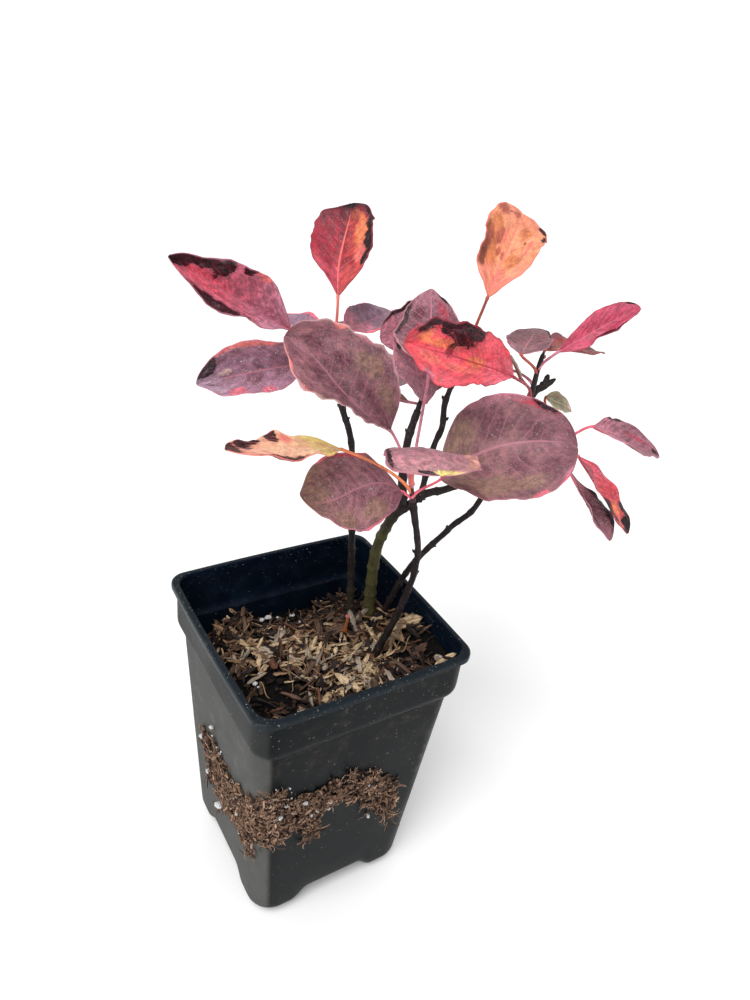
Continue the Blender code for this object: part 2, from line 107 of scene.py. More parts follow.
STEMS = {
    "stem_left": Limb(
        (0.0260, 0.0163, GROUND),
        (Run(0.041, 134, 85), Run(0.037, 145, 84), Run(0.016, 145, 72), Run(0.007, 145, 78)),
        0.0017, 0.0012),
    "stem_main": Limb(
        (0.0322, 0.0115, GROUND),
        (Run(0.033, 221, 85), Run(0.019, 284, 76), Run(0.012, 291, 63)),
        0.0024, 0.0019),
    "stem_right": Limb(
        (0.0340, 0.0061, GROUND),
        (Run(0.032, 315, 73), Run(0.024, 330, 58), Run(0.017, 336, 54), Run(0.041, 356, 73)),
        0.0016, 0.0013),
    "stem_front": Limb(
        (0.0230, -0.0104, GROUND),
        (Run(0.026, 323, 75), Run(0.024, 314, 83), Run(0.024, 145, 78)),
        0.0018, 0.0014),
}
BOUGHS = {
    "bough_inner": Limb(
        (0.0328, 0.0005, 0.1690),
        (Run(0.011, 108, 80), Run(0.014, 57, 74), Run(0.012, 30, 66)),
        0.0018, 0.0013),
    "bough_side": Limb(
        (0.0322, 0.0020, 0.1645),
        (Run(0.013, 330, 46), Run(0.010, 350, 10), Run(0.021, 349, 21), Run(0.019, 338, 27)),
        0.0016, 0.0011),
    "bough_middle": Limb(
        (0.0376, -0.0030, 0.1715),
        (Run(0.0215, 24, 79.5), Run(0.009, 10, 71), Run(0.009, 65, 77), Run(0.014, 358, 75)),
        0.0012, 0.0010),
}
STUB = Limb((0.0722, -0.0116, 0.2060), (Run(0.009, 25, 60), Run(0.0053, -10, 35)), 0.0015, 0.0014)

# Each mass of foliage: its limb, the runs of its twig, and its leaves with the kind of each
FOLIAGE = {
    "foliage_left": ("stem_left", (Run(0.010, 145, 78), Run(0.008, 140, 80)), (
        Leaf(0.85, (-0.0033, 0.0317, 0.2296), 166, 30, -61, 0.047, 0.027, 0.46, -20, 50, -25, "scorched"),
        Leaf(0.35, (0.0046, 0.0249, 0.2197), 179, -5, -57, 0.044, 0.026, 0.60, 60, 45, 8, "silvered"),
        Leaf(1.00, (0.0116, 0.0273, 0.2417), 56, 45, -14, 0.037, 0.025, 0.57, -6, 22, -19, "flame"),
        Leaf(0.70, (0.0100, 0.0340, 0.2275), 105, -12, -5, 0.030, 0.020, 0.54, 10, 12, -14, "lilac"),
        Leaf(0.60, (0.0190, 0.0320, 0.2280), 22, 3, 14, 0.028, 0.017, 0.45, 0, 15, -10, "lilac"),
        Leaf(0.05, (0.0215, 0.0280, 0.2100), 25, -20, -10, 0.036, 0.026, 0.55, 25, 15, 0, "plum"),
        Leaf(0.20, (0.0174, 0.0320, 0.2124), 92, -22, 5, 0.035, 0.025, 0.55, 25, 15, 0, "dusk"),
        Leaf(0.30, (0.0170, 0.0370, 0.2198), 70, -2, 5, 0.030, 0.021, 0.55, 25, 12, 0, "mauve"),
    )),
    "foliage_front": ("stem_front", (Run(0.004, 145, 76), Run(0.003, 145, 80)), (
        Leaf(0.85, (0.0159, -0.0087, 0.2071), 160, 40, -58, 0.049, 0.036, 0.62, 55, 45, -25, "banded"),
        Leaf(0.60, (-0.0008, -0.0055, 0.2014), 182, 10, 7, 0.042, 0.024, 0.52, 12, 5, 0, "gold"),
        Leaf(0.05, (0.0225, -0.0122, 0.1838), 169, 4, -33, 0.038, 0.029, 0.59, 36, 9, -4, "low"),
        Leaf(1.00, (0.0209, -0.0184, 0.2021), 246, 18, -2, 0.034, 0.030, 0.62, 60, -7, 12, "edge_on"),
        Leaf(0.30, (0.0325, -0.0192, 0.1911), 322, 25, 42, 0.047, 0.042, 0.48, 50, 25, 20, "round"),
        Leaf(0.95, (0.0345, 0.0002, 0.2265), 61, 38, -8, 0.030, 0.026, 0.45, 0, -5, 8, "streaked"),
    )),
    "foliage_inner": ("bough_inner", (Run(0.002, 30, 66), Run(0.002, 30, 70)), (
        Leaf(1.00, (0.0408, 0.0062, 0.2077), 102, 55, 4, 0.029, 0.025, 0.53, 12, 10, -6, "blush"),
        Leaf(0.60, (0.0480, 0.0130, 0.2080), 58, 3, 0, 0.033, 0.025, 0.55, 25, 12, 5, "olive"),
        Leaf(0.40, (0.0370, 0.0120, 0.2060), 130, -5, 10, 0.026, 0.017, 0.55, 20, 15, 0, "dusk"),
        Leaf(0.80, (0.0440, 0.0190, 0.2172), 64, 11, 6, 0.030, 0.021, 0.55, 25, 12, 0, "plum"),
    )),
    "foliage_middle": ("bough_middle", (Run(0.003, 2, 75), Run(0.003, 2, 77)), (
        Leaf(1.00, (0.0529, -0.0017, 0.2484), 36, 38, 16, 0.038, 0.024, 0.54, 45, 25, 20, "peach"),
        Leaf(0.80, (0.0564, 0.0269, 0.2323), 184, -14, -64, 0.0275, 0.019, 0.48, 10, 10, 0, "rose"),
        Leaf(0.20, (0.0550, 0.0065, 0.2215), 45, -8, 0, 0.029, 0.022, 0.55, 25, 12, 0, "plum"),
        Leaf(0.60, (0.0600, 0.0100, 0.2245), 52, -16, 5, 0.032, 0.023, 0.55, 25, 12, 0, "mauve"),
    )),
    "foliage_right": ("stem_right", (Run(0.003, 356, 73), Run(0.010, 39, 76), Run(0.006, 14, 78)), (
        Leaf(0.10, (0.0556, -0.0196, 0.2267), 163, 15, -66, 0.042, 0.028, 0.60, 50, 40, 0, "scarlet"),
        Leaf(0.60, (0.0654, -0.0105, 0.2306), 38, 2, -4, 0.030, 0.017, 0.49, 0, 5, -10, "small"),
        Leaf(0.70, (0.0801, -0.0135, 0.2312), 2, 19, 36, 0.041, 0.017, 0.50, 20, 40, -10, "pink"),
        Leaf(0.90, (0.0826, -0.0055, 0.2290), 3, -8, -1, 0.029, 0.022, 0.53, 8, 12, 0, "rust"),
        Leaf(0.20, (0.0720, -0.0070, 0.2190), 150, 55, 0, 0.010, 0.004, 0.50, 0, 20, 0, "pale"),
        Leaf(0.35, (0.0743, 0.0049, 0.2184), 88, -34, -12, 0.031, 0.022, 0.55, 25, 12, 0, "dusk"),
    )),
    "foliage_side": ("bough_side", (Run(0.003, 338, 27), Run(0.003, 338, 27)), (
        Leaf(1.00, (0.0976, -0.0234, 0.2039), 339, -21, 13, 0.034, 0.020, 0.46, 0, 20, 10, "drooping"),
        Leaf(0.80, (0.0927, -0.0249, 0.1927), 281, -35, -19, 0.034, 0.018, 0.43, 2, 17, 12, "ember"),
        Leaf(0.50, (0.0880, -0.0260, 0.1885), 290, -42, -8, 0.031, 0.015, 0.62, -5, 17, 4, "dark"),
        Leaf(0.60, (0.0900, -0.0050, 0.1885), 38, -16, 0, 0.033, 0.024, 0.55, 25, 12, 0, "plum"),
        Leaf(0.20, (0.0855, -0.0040, 0.1830), 96, -18, 0, 0.033, 0.023, 0.55, 25, 12, 0, "olive"),
        Leaf(0.50, (0.0858, -0.0078, 0.2106), 342, -24, 33, 0.013, 0.009, 0.45, 13, 11, -10, "pale"),
    )),
}

# Leaf colours
BURNT = (0.016, 0.012, 0.016)
BARK = (0.016, 0.011, 0.012)
WINE = (0.050, 0.020, 0.022)
MAROON = (0.095, 0.010, 0.018)
PLUM = (0.170, 0.066, 0.088)
MAUVE = (0.310, 0.132, 0.165)
DUSK = (0.275, 0.132, 0.148)
OLIVE = (0.270, 0.165, 0.118)
LILAC = (0.400, 0.285, 0.370)
# Painted glints on the blades, and painted sheen on their burnt patches
SHEEN_SILVER = (0.640, 0.550, 0.610)
DULL_ROSE = (0.420, 0.178, 0.220)
ROSE = (0.560, 0.200, 0.265)
CRIMSON = (0.400, 0.036, 0.068)
RED = (0.620, 0.075, 0.085)
SCARLET = (0.860, 0.085, 0.115)
PINK = (0.880, 0.160, 0.225)
CORAL = (0.900, 0.210, 0.170)
RUST = (0.400, 0.090, 0.060)
ORANGE = (0.880, 0.260, 0.110)
PEACH = (0.930, 0.370, 0.200)
TAN = (0.640, 0.210, 0.080)
GOLD = (1.000, 0.860, 0.240)
CREAM = (0.760, 0.560, 0.480)
SAGE = (0.330, 0.330, 0.200)
BROWN = (0.120, 0.035, 0.020)

# A patch of another colour: its place along and across the blade, and how far it reaches each way.
Patch = namedtuple("Patch", "along across length width colour")

# The look of a blade: the colours from base to tip, the colour of its right half if that differs,
# its mottling, its side veins, margin and midrib, how far in the margin's colour starts, how
# strongly its pale dots and bloom, its painted glints and its painted sheen show, its patches, the colour of
# its stalk. Its form: where the midrib lies at base and tip, the share of the plain width along its left and
# right margins, how far the margin waves, and how deep it is scalloped.
Look = namedtuple("Look", "base middle tip right mottle vein margin rib fleck patches stalk "
                          "rib_base rib_tip left_rim right_rim wave scallop border")
MAUVE_LOOK = Look(MAUVE, MAUVE, MAUVE, None, PLUM, DULL_ROSE, ROSE, ROSE, 0.6, (), ROSE,
                  0.0, 0.0, (), (), 0.06, 0.012, 0.965)
RED_LOOK = MAUVE_LOOK._replace(base=PINK, middle=SCARLET, tip=CRIMSON, mottle=CRIMSON, vein=MAROON,
                               margin=CRIMSON, rib=PEACH, fleck=0.25, stalk=PINK)

LOOKS = {
    "scorched": MAUVE_LOOK._replace(
        base=(0.640, 0.290, 0.390), middle=(0.660, 0.170, 0.240), tip=PINK, mottle=(0.460, 0.160, 0.220),
        vein=CRIMSON, fleck=1.0, stalk=CRIMSON,
        patches=(Patch(0.38, -0.97, 0.07, 0.14, CORAL), Patch(0.72, 0.05, 0.24, 0.50, PINK),
                 Patch(0.62, 0.97, 0.26, 0.34, BURNT), Patch(0.50, -0.98, 0.05, 0.20, BURNT),
                 Patch(0.66, -0.80, 0.07, 0.50, BURNT), Patch(0.80, -0.80, 0.10, 0.36, BURNT),
                 Patch(0.94, -0.55, 0.09, 0.75, BURNT), Patch(0.99, 0.30, 0.05, 0.90, BURNT)),
        left_rim=((0.0, 0.88), (0.15, 1.05), (0.50, 0.93), (0.80, 1.03), (1.0, 0.60)),
        right_rim=((0.0, 0.80), (0.30, 1.02), (0.60, 1.0), (0.78, 0.83), (1.0, 1.20)), wave=0.08),
    "silvered": MAUVE_LOOK._replace(
        base=MAUVE, middle=(0.350, 0.185, 0.260), tip=LILAC, fleck=1.6, stalk=CRIMSON,
        patches=(Patch(0.62, -0.99, 0.22, 0.16, CORAL), Patch(0.74, 0.90, 0.06, 0.32, PINK),
                 Patch(0.55, 0.97, 0.05, 0.20, PINK), Patch(0.90, -0.72, 0.08, 0.42, BURNT),
                 Patch(0.78, -0.20, 0.045, 0.12, CREAM), Patch(0.72, -0.42, 0.030, 0.07, LILAC),
                 Patch(0.60, -0.42, 0.030, 0.07, LILAC), Patch(0.50, -0.40, 0.030, 0.07, LILAC)),
        left_rim=((0.0, 0.90), (0.30, 0.75), (0.40, 0.88), (0.80, 0.90), (1.0, 0.40)),
        right_rim=((0.0, 1.0), (0.30, 1.07), (0.45, 0.90), (0.75, 1.0), (1.0, 0.75))),
    "flame": RED_LOOK._replace(
        base=(0.680, 0.100, 0.145), middle=(0.400, 0.036, 0.058), tip=MAROON, right=(0.620, 0.085, 0.070),
        mottle=(0.280, 0.020, 0.036), rib=CORAL, fleck=0.45, stalk=CORAL,
        patches=(Patch(0.66, -0.56, 0.22, 0.30, ORANGE), Patch(0.44, -0.62, 0.12, 0.24, CORAL),
                 Patch(0.90, -0.30, 0.10, 0.26, RUST), Patch(0.97, 0.0, 0.06, 1.3, MAROON),
                 Patch(0.38, -1.0, 0.12, 0.24, BURNT), Patch(0.56, -0.92, 0.12, 0.34, BURNT),
                 Patch(0.72, -0.98, 0.12, 0.30, BURNT), Patch(0.86, -1.0, 0.12, 0.20, BURNT),
                 Patch(1.0, -0.2, 0.05, 1.1, BURNT)),
        rib_base=0.28, rib_tip=-0.05,
        left_rim=((0.0, 0.78), (0.20, 0.95), (0.40, 1.05), (0.65, 0.98), (0.82, 1.16), (0.90, 1.34),
                  (0.95, 0.95), (1.0, 0.6)),
        right_rim=((0.0, 0.75), (0.10, 0.85), (0.22, 1.12), (0.42, 0.95), (0.62, 1.05), (0.82, 1.06),
                   (0.92, 1.28), (1.0, 1.0)),
        wave=0.10),
    "lilac": MAUVE_LOOK._replace(
        base=ROSE, middle=(0.270, 0.165, 0.245), tip=LILAC, mottle=(0.250, 0.140, 0.190), margin=PINK,
        fleck=0.9,
        stalk=CRIMSON, patches=(Patch(0.55, -0.95, 0.40, 0.12, PINK), Patch(0.25, -0.3, 0.2, 0.5, ROSE))),
    "banded": MAUVE_LOOK._replace(
        base=MAUVE, middle=DUSK, tip=(0.330, 0.140, 0.160), mottle=PLUM, margin=(0.640, 0.370, 0.370),
        rib=DULL_ROSE, fleck=0.8,
        patches=(Patch(0.26, -0.55, 0.14, 0.26, OLIVE), Patch(0.52, -0.60, 0.12, 0.22, OLIVE),
                 Patch(0.42, -0.99, 0.05, 0.08, ROSE), Patch(0.64, -0.99, 0.05, 0.12, ROSE),
                 Patch(0.78, -0.98, 0.04, 0.10, CORAL), Patch(0.90, 0.98, 0.08, 0.08, CORAL),
                 Patch(0.60, 0.96, 0.10, 0.10, OLIVE), Patch(0.75, 0.99, 0.04, 0.10, CORAL),
                 Patch(0.55, 0.34, 0.10, 0.30, PLUM), Patch(0.72, 0.18, 0.10, 0.34, PLUM),
                 Patch(0.40, -0.14, 0.12, 0.14, PLUM), Patch(0.84, -0.40, 0.06, 0.24, PLUM),
                 Patch(0.66, -0.36, 0.07, 0.14, PLUM)),
        rib_base=0.72, rib_tip=-0.15,
        left_rim=((0.0, 1.0), (0.10, 1.20), (0.30, 0.90), (0.50, 0.80), (0.80, 1.0), (1.0, 0.65)),
        right_rim=((0.0, 1.0), (0.10, 1.25), (0.40, 1.03), (0.70, 0.90), (0.90, 0.98), (1.0, 1.25)),
        wave=0.05, scallop=0.042, border=0.955, stalk=ROSE),
    "gold": RED_LOOK._replace(
        base=GOLD, middle=(0.980, 0.600, 0.370), tip=(0.930, 0.360, 0.260), mottle=(0.960, 0.480, 0.300), vein=CORAL, margin=CORAL, rib=PEACH,
        fleck=0.15, stalk=ORANGE,
        patches=(Patch(0.45, -0.55, 0.07, 0.30, CORAL), Patch(0.56, -0.72, 0.06, 0.42, BURNT),
                 Patch(0.70, 0.97, 0.20, 0.22, BURNT), Patch(0.74, -0.75, 0.07, 0.50, BURNT),
                 Patch(0.84, -0.55, 0.07, 0.75, BURNT), Patch(0.96, -0.10, 0.06, 1.10, BURNT)),
        left_rim=((0.0, 1.0), (0.30, 0.95), (0.50, 1.07), (0.70, 1.30), (0.85, 1.45), (1.0, 1.1)),
        right_rim=((0.0, 1.35), (0.20, 1.25), (0.40, 0.88), (0.70, 0.60), (0.85, 0.66), (1.0, 1.0)),
        wave=0.10),
    "low": MAUVE_LOOK._replace(
        base=MAUVE, middle=DUSK, tip=OLIVE, mottle=PLUM, rib=DULL_ROSE, fleck=0.8, stalk=PINK,
        patches=(Patch(0.36, 0.60, 0.14, 0.34, OLIVE), Patch(0.64, 0.75, 0.10, 0.30, OLIVE),
                 Patch(0.85, 0.05, 0.10, 0.35, OLIVE), Patch(0.55, -0.96, 0.20, 0.10, CRIMSON),
                 Patch(0.40, 0.99, 0.14, 0.06, PINK), Patch(0.75, -0.99, 0.10, 0.08, PINK)),
        rib_base=-0.60, rib_tip=0.60,
        left_rim=((0.0, 1.6), (0.10, 1.6), (0.30, 1.23), (0.70, 1.12), (0.80, 0.93), (1.0, 0.78)),
        right_rim=((0.0, 0.90), (0.12, 1.35), (0.30, 1.20), (0.50, 0.95), (0.90, 0.90), (1.0, 0.50)),
        wave=0.05),
    "edge_on": MAUVE_LOOK._replace(
        base=DULL_ROSE, middle=(0.480, 0.215, 0.250), tip=(0.560, 0.270, 0.280), mottle=(0.380, 0.180, 0.200),
        fleck=1.2, stalk=CORAL,
        patches=(Patch(0.97, 0.3, 0.05, 0.7, GOLD), Patch(0.55, -0.97, 0.30, 0.14, BURNT),
                 Patch(0.96, -0.55, 0.05, 0.26, BURNT), Patch(0.66, 0.86, 0.26, 0.16, (0.660, 0.330, 0.250))),
        left_rim=((0.0, 1.0), (0.40, 1.30), (0.60, 1.0), (1.0, 1.2)),
        right_rim=((0.0, 1.0), (0.30, 1.30), (0.50, 1.0), (1.0, 1.2)), wave=0.08),
    "round": MAUVE_LOOK._replace(
        base=(0.240, 0.145, 0.120), middle=(0.265, 0.125, 0.135), tip=(0.250, 0.100, 0.128),
        mottle=(0.165, 0.075, 0.085), vein=(0.360, 0.165, 0.185), rib=DULL_ROSE, fleck=0.45,
        patches=(Patch(0.40, -0.62, 0.22, 0.26, OLIVE), Patch(0.22, 0.70, 0.12, 0.24, OLIVE),
                 Patch(0.18, 0.10, 0.12, 0.36, OLIVE), Patch(0.62, -0.66, 0.14, 0.16, OLIVE),
                 Patch(0.48, 0.62, 0.12, 0.24, PLUM), Patch(0.72, 0.40, 0.10, 0.24, PLUM),
                 Patch(0.60, -0.20, 0.09, 0.20, PLUM), Patch(0.80, -0.40, 0.09, 0.22, PLUM),
                 Patch(0.34, -0.20, 0.07, 0.18, PLUM), Patch(0.06, -0.10, 0.05, 0.60, DULL_ROSE),
                 Patch(0.74, 0.92, 0.14, 0.08, CRIMSON), Patch(0.80, 0.98, 0.07, 0.10, BURNT),
                 Patch(0.68, -0.98, 0.05, 0.08, PINK), Patch(0.88, -0.92, 0.06, 0.12, ROSE),
                 Patch(0.60, 0.99, 0.06, 0.06, PINK), Patch(0.84, -0.98, 0.04, 0.06, PINK),
                 Patch(0.50, 0.96, 0.22, 0.10, DULL_ROSE)),
        rib_base=0.25, rib_tip=0.25,
        left_rim=((0.0, 1.15), (0.20, 1.12), (0.40, 1.03), (0.80, 1.06), (1.0, 1.28)),
        right_rim=((0.0, 0.60), (0.20, 0.68), (0.40, 0.88), (0.60, 0.98), (0.90, 1.04), (1.0, 0.85)),
        wave=0.03, scallop=0.008, border=0.985, stalk=PINK),
    "streaked": MAUVE_LOOK._replace(
        base=DUSK, middle=PLUM, tip=DULL_ROSE, mottle=PLUM, vein=ROSE, rib=ROSE, fleck=1.0,
        margin=(0.640, 0.300, 0.340), border=0.94,
        patches=(Patch(0.42, -0.42, 0.14, 0.22, MAROON), Patch(0.66, 0.40, 0.10, 0.24, MAROON),
                 Patch(0.62, 0.95, 0.22, 0.20, BURNT), Patch(0.45, 0.35, 0.08, 0.12, CRIMSON),
                 Patch(0.72, -0.50, 0.12, 0.25, CRIMSON), Patch(0.86, -0.92, 0.08, 0.14, BURNT),
                 Patch(0.55, -0.30, 0.05, 0.30, PLUM)),
        left_rim=((0.0, 1.1), (0.40, 1.03), (0.60, 0.85), (0.90, 0.90), (1.0, 0.65)),
        right_rim=((0.0, 1.0), (0.50, 0.93), (0.70, 0.78), (1.0, 0.55)), wave=0.09, scallop=0.02,
        stalk=ROSE),
    "blush": MAUVE_LOOK._replace(
        base=DULL_ROSE, middle=ROSE, tip=ROSE, mottle=MAUVE, fleck=1.5, stalk=ROSE,
        patches=(Patch(0.78, 0.62, 0.07, 0.22, BURNT), Patch(0.30, 0.70, 0.18, 0.25, MAUVE)),
        left_rim=((0.0, 1.3), (0.20, 1.12), (0.60, 1.22), (1.0, 1.0)),
        right_rim=((0.0, 1.3), (0.30, 1.05), (1.0, 1.0))),
    "peach": RED_LOOK._replace(
        base=(0.930, 0.280, 0.210), middle=PEACH, tip=(0.880, 0.300, 0.190), mottle=PEACH, vein=RUST,
        margin=CORAL, rib=CORAL, fleck=0.12, stalk=RUST,
        patches=(Patch(0.38, 0.60, 0.13, 0.36, TAN), Patch(0.62, 0.72, 0.15, 0.24, TAN),
                 Patch(0.36, -0.30, 0.09, 0.30, TAN), Patch(0.70, -0.35, 0.10, 0.22, TAN),
                 Patch(0.46, 0.96, 0.22, 0.30, BROWN), Patch(0.55, 0.45, 0.10, 0.16, RUST), Patch(0.80, 0.85, 0.07, 0.30, RUST),
                 Patch(0.92, 0.30, 0.06, 0.24, RUST), Patch(0.30, 0.82, 0.08, 0.14, BROWN),
                 Patch(0.50, 0.80, 0.12, 0.10, RUST), Patch(0.42, 0.30, 0.05, 0.10, RUST),
                 Patch(0.60, 0.25, 0.10, 0.06, CORAL), Patch(0.52, -0.60, 0.10, 0.08, CORAL),
                 Patch(0.40, 0.10, 0.05, 0.07, RUST), Patch(0.66, -0.97, 0.08, 0.12, BURNT),
                 Patch(0.77, -0.95, 0.04, 0.12, BURNT),
                 Patch(0.87, 0.60, 0.02, 0.04, BROWN), Patch(0.57, -0.43, 0.02, 0.04, BROWN)),
        rib_base=0.05, rib_tip=0.0,
        left_rim=((0.0, 0.55), (0.10, 0.88), (0.22, 1.10), (0.48, 0.88), (0.78, 1.10), (1.0, 1.12)),
        right_rim=((0.0, 1.0), (0.15, 0.93), (0.60, 0.98), (0.74, 1.03), (0.88, 0.76), (1.0, 0.55)),
        wave=0.12, scallop=0.016),
    "rose": MAUVE_LOOK._replace(
        base=DULL_ROSE, middle=ROSE, tip=ROSE, mottle=DULL_ROSE, fleck=1.3,
        patches=(Patch(0.55, -0.95, 0.40, 0.16, BURNT), Patch(0.55, 0.95, 0.35, 0.16, PLUM)),
        right_rim=((0.0, 1.0), (0.40, 1.05), (0.60, 0.93), (0.80, 1.18), (1.0, 1.40))),
    "scarlet": RED_LOOK._replace(
        base=(0.900, 0.200, 0.260), middle=(0.860, 0.120, 0.150), tip=(0.800, 0.110, 0.130), mottle=SCARLET,
        vein=CRIMSON, rib=CRIMSON, fleck=0.6,
        patches=(Patch(0.72, -0.30, 0.15, 0.16, ORANGE), Patch(0.42, 0.0, 0.09, 0.20, ORANGE),
                 Patch(0.86, -0.45, 0.06, 0.24, ORANGE), Patch(0.80, 0.30, 0.10, 0.24, CORAL),
                 Patch(0.55, 0.35, 0.16, 0.16, CORAL), Patch(0.20, 0.50, 0.12, 0.30, PINK),
                 Patch(0.60, -0.80, 0.12, 0.58, BURNT),
                 Patch(0.73, -0.95, 0.06, 0.34, BURNT), Patch(0.86, -0.97, 0.08, 0.34, BURNT),
                 Patch(0.66, -0.10, 0.03, 0.20, MAROON), Patch(0.80, 0.92, 0.05, 0.14, ROSE)),
        left_rim=((0.0, 0.75), (0.40, 0.75), (0.62, 0.95), (0.72, 1.05), (0.80, 0.90), (0.87, 1.0),
                  (0.94, 0.70), (1.0, 0.6)),
        right_rim=((0.0, 1.12), (0.20, 1.07), (0.50, 0.90), (0.66, 1.0), (0.74, 0.90), (0.84, 1.08),
                   (0.92, 0.98), (1.0, 1.4)),
        wave=0.11, scallop=0.034, stalk=CRIMSON),
    "small": MAUVE_LOOK._replace(
        base=DUSK, middle=(0.230, 0.080, 0.095), tip=DUSK, mottle=(0.180, 0.070, 0.075), fleck=1.0, stalk=RUST,
        patches=(Patch(0.18, 0.85, 0.14, 0.30, DULL_ROSE), Patch(0.28, -0.85, 0.22, 0.30, PLUM),
                 Patch(0.80, -0.95, 0.15, 0.14, BURNT))),
    "pink": RED_LOOK._replace(
        base=(0.700, 0.130, 0.210), middle=(0.680, 0.110, 0.190), tip=(0.620, 0.110, 0.190),
        mottle=(0.560, 0.080, 0.140), vein=CRIMSON, rib=ROSE, fleck=0.35,
        patches=(Patch(0.43, -0.92, 0.13, 0.34, BURNT), Patch(0.62, -0.97, 0.08, 0.14, BURNT),
                 Patch(0.88, 0.95, 0.08, 0.12, BURNT), Patch(0.35, -0.35, 0.12, 0.20, ROSE)),
        left_rim=((0.0, 0.60), (0.20, 0.80), (1.0, 0.80)),
        right_rim=((0.0, 1.15), (0.20, 1.05), (0.35, 0.66), (0.80, 0.62), (1.0, 0.55)), stalk=ROSE),
    "rust": RED_LOOK._replace(
        base=(0.300, 0.090, 0.080), middle=(0.380, 0.065, 0.055), tip=MAROON, mottle=RUST, vein=MAROON, rib=PEACH, fleck=0.2, stalk=RUST,
        patches=(Patch(0.5, 0.9, 0.3, 0.2, PLUM),)),
    "drooping": MAUVE_LOOK._replace(
        base=ROSE, middle=(0.330, 0.130, 0.170), tip=(0.300, 0.120, 0.155), mottle=PLUM, fleck=0.7, stalk=PINK,
        patches=(Patch(0.34, 0.98, 0.10, 0.16, BURNT), Patch(0.66, 0.42, 0.22, 0.10, CRIMSON),
                 Patch(0.93, 0.30, 0.05, 0.20, BURNT)),
        left_rim=((0.0, 0.60), (0.20, 0.98), (1.0, 0.98)),
        right_rim=((0.0, 1.0), (0.30, 1.20), (0.60, 1.12), (0.90, 0.85), (1.0, 0.6))),
    "ember": RED_LOOK._replace(
        base=PINK, middle=(0.620, 0.075, 0.095), tip=CORAL, mottle=RED, fleck=0.5, stalk=PINK,
        patches=(Patch(0.68, 0.20, 0.10, 0.30, ORANGE), Patch(0.74, 0.88, 0.10, 0.30, BURNT),
                 Patch(0.90, 0.60, 0.10, 0.50, BURNT), Patch(0.70, -0.75, 0.16, 0.42, BURNT),
                 Patch(0.97, 0.0, 0.06, 1.0, BURNT), Patch(0.90, 0.0, 0.10, 0.06, PINK)),
        left_rim=((0.0, 0.65), (0.20, 1.18), (0.60, 0.93), (0.90, 1.22), (1.0, 1.15)),
        right_rim=((0.0, 1.1), (0.60, 1.0), (0.90, 1.20), (1.0, 1.2)), wave=0.12),
    "dark": MAUVE_LOOK._replace(
        base=DUSK, middle=PLUM, tip=DULL_ROSE, mottle=MAROON, fleck=1.2, stalk=PINK,
        patches=(Patch(0.60, 0.95, 0.30, 0.30, BURNT), Patch(0.55, -0.5, 0.2, 0.3, BURNT)),
        left_rim=((0.0, 0.6), (0.25, 0.75), (0.50, 1.15), (1.0, 1.25)),
        right_rim=((0.0, 0.5), (0.25, 0.65), (0.50, 1.0), (1.0, 1.1)), wave=0.10),
    "pale": MAUVE_LOOK._replace(
        base=SAGE, middle=SAGE, tip=CREAM, mottle=(0.220, 0.210, 0.120), vein=SAGE, margin=CREAM,
        rib=CREAM, fleck=0.2, patches=(Patch(0.4, 0.6, 0.25, 0.3, OLIVE),), stalk=RUST),
    "plum": MAUVE_LOOK._replace(
        base=MAUVE, middle=PLUM, tip=DUSK, mottle=DUSK,
        patches=(Patch(0.85, 0.85, 0.10, 0.30, BURNT), Patch(0.40, -0.95, 0.10, 0.14, PINK)),
        left_rim=((0.0, 1.0), (0.40, 1.05), (0.70, 0.93), (1.0, 1.1)), wave=0.07, scallop=0.02),
    "mauve": MAUVE_LOOK._replace(
        base=ROSE, middle=MAUVE, tip=MAUVE, mottle=PLUM,
        patches=(Patch(0.60, -0.95, 0.12, 0.22, BURNT), Patch(0.70, 0.90, 0.10, 0.16, CORAL)),
        right_rim=((0.0, 1.0), (0.35, 1.06), (0.60, 0.92), (1.0, 1.1)), wave=0.07, scallop=0.02),
    "dusk": MAUVE_LOOK._replace(
        base=OLIVE, middle=DUSK, tip=MAUVE, mottle=OLIVE, vein=PLUM,
        patches=(Patch(0.92, -0.3, 0.08, 0.60, BURNT), Patch(0.50, 0.96, 0.12, 0.12, CRIMSON)),
        left_rim=((0.0, 1.1), (0.50, 0.95), (0.75, 1.05), (1.0, 0.9)), scallop=0.016),
    "olive": MAUVE_LOOK._replace(
        base=OLIVE, middle=OLIVE, tip=DUSK, mottle=DUSK, vein=PLUM,
        patches=(Patch(0.35, 0.95, 0.12, 0.14, PINK), Patch(0.80, -0.90, 0.10, 0.20, RUST)),
        right_rim=((0.0, 1.1), (0.45, 0.96), (0.75, 1.06), (1.0, 0.9)), scallop=0.016),
}


def unit(heading, lift):
    """The direction with this heading from +X towards +Y, and this lift above the level."""
    level = math.cos(math.radians(lift))
    return Vector((level * math.cos(math.radians(heading)),
                   level * math.sin(math.radians(heading)),
                   math.sin(math.radians(lift))))


# Shader nodes


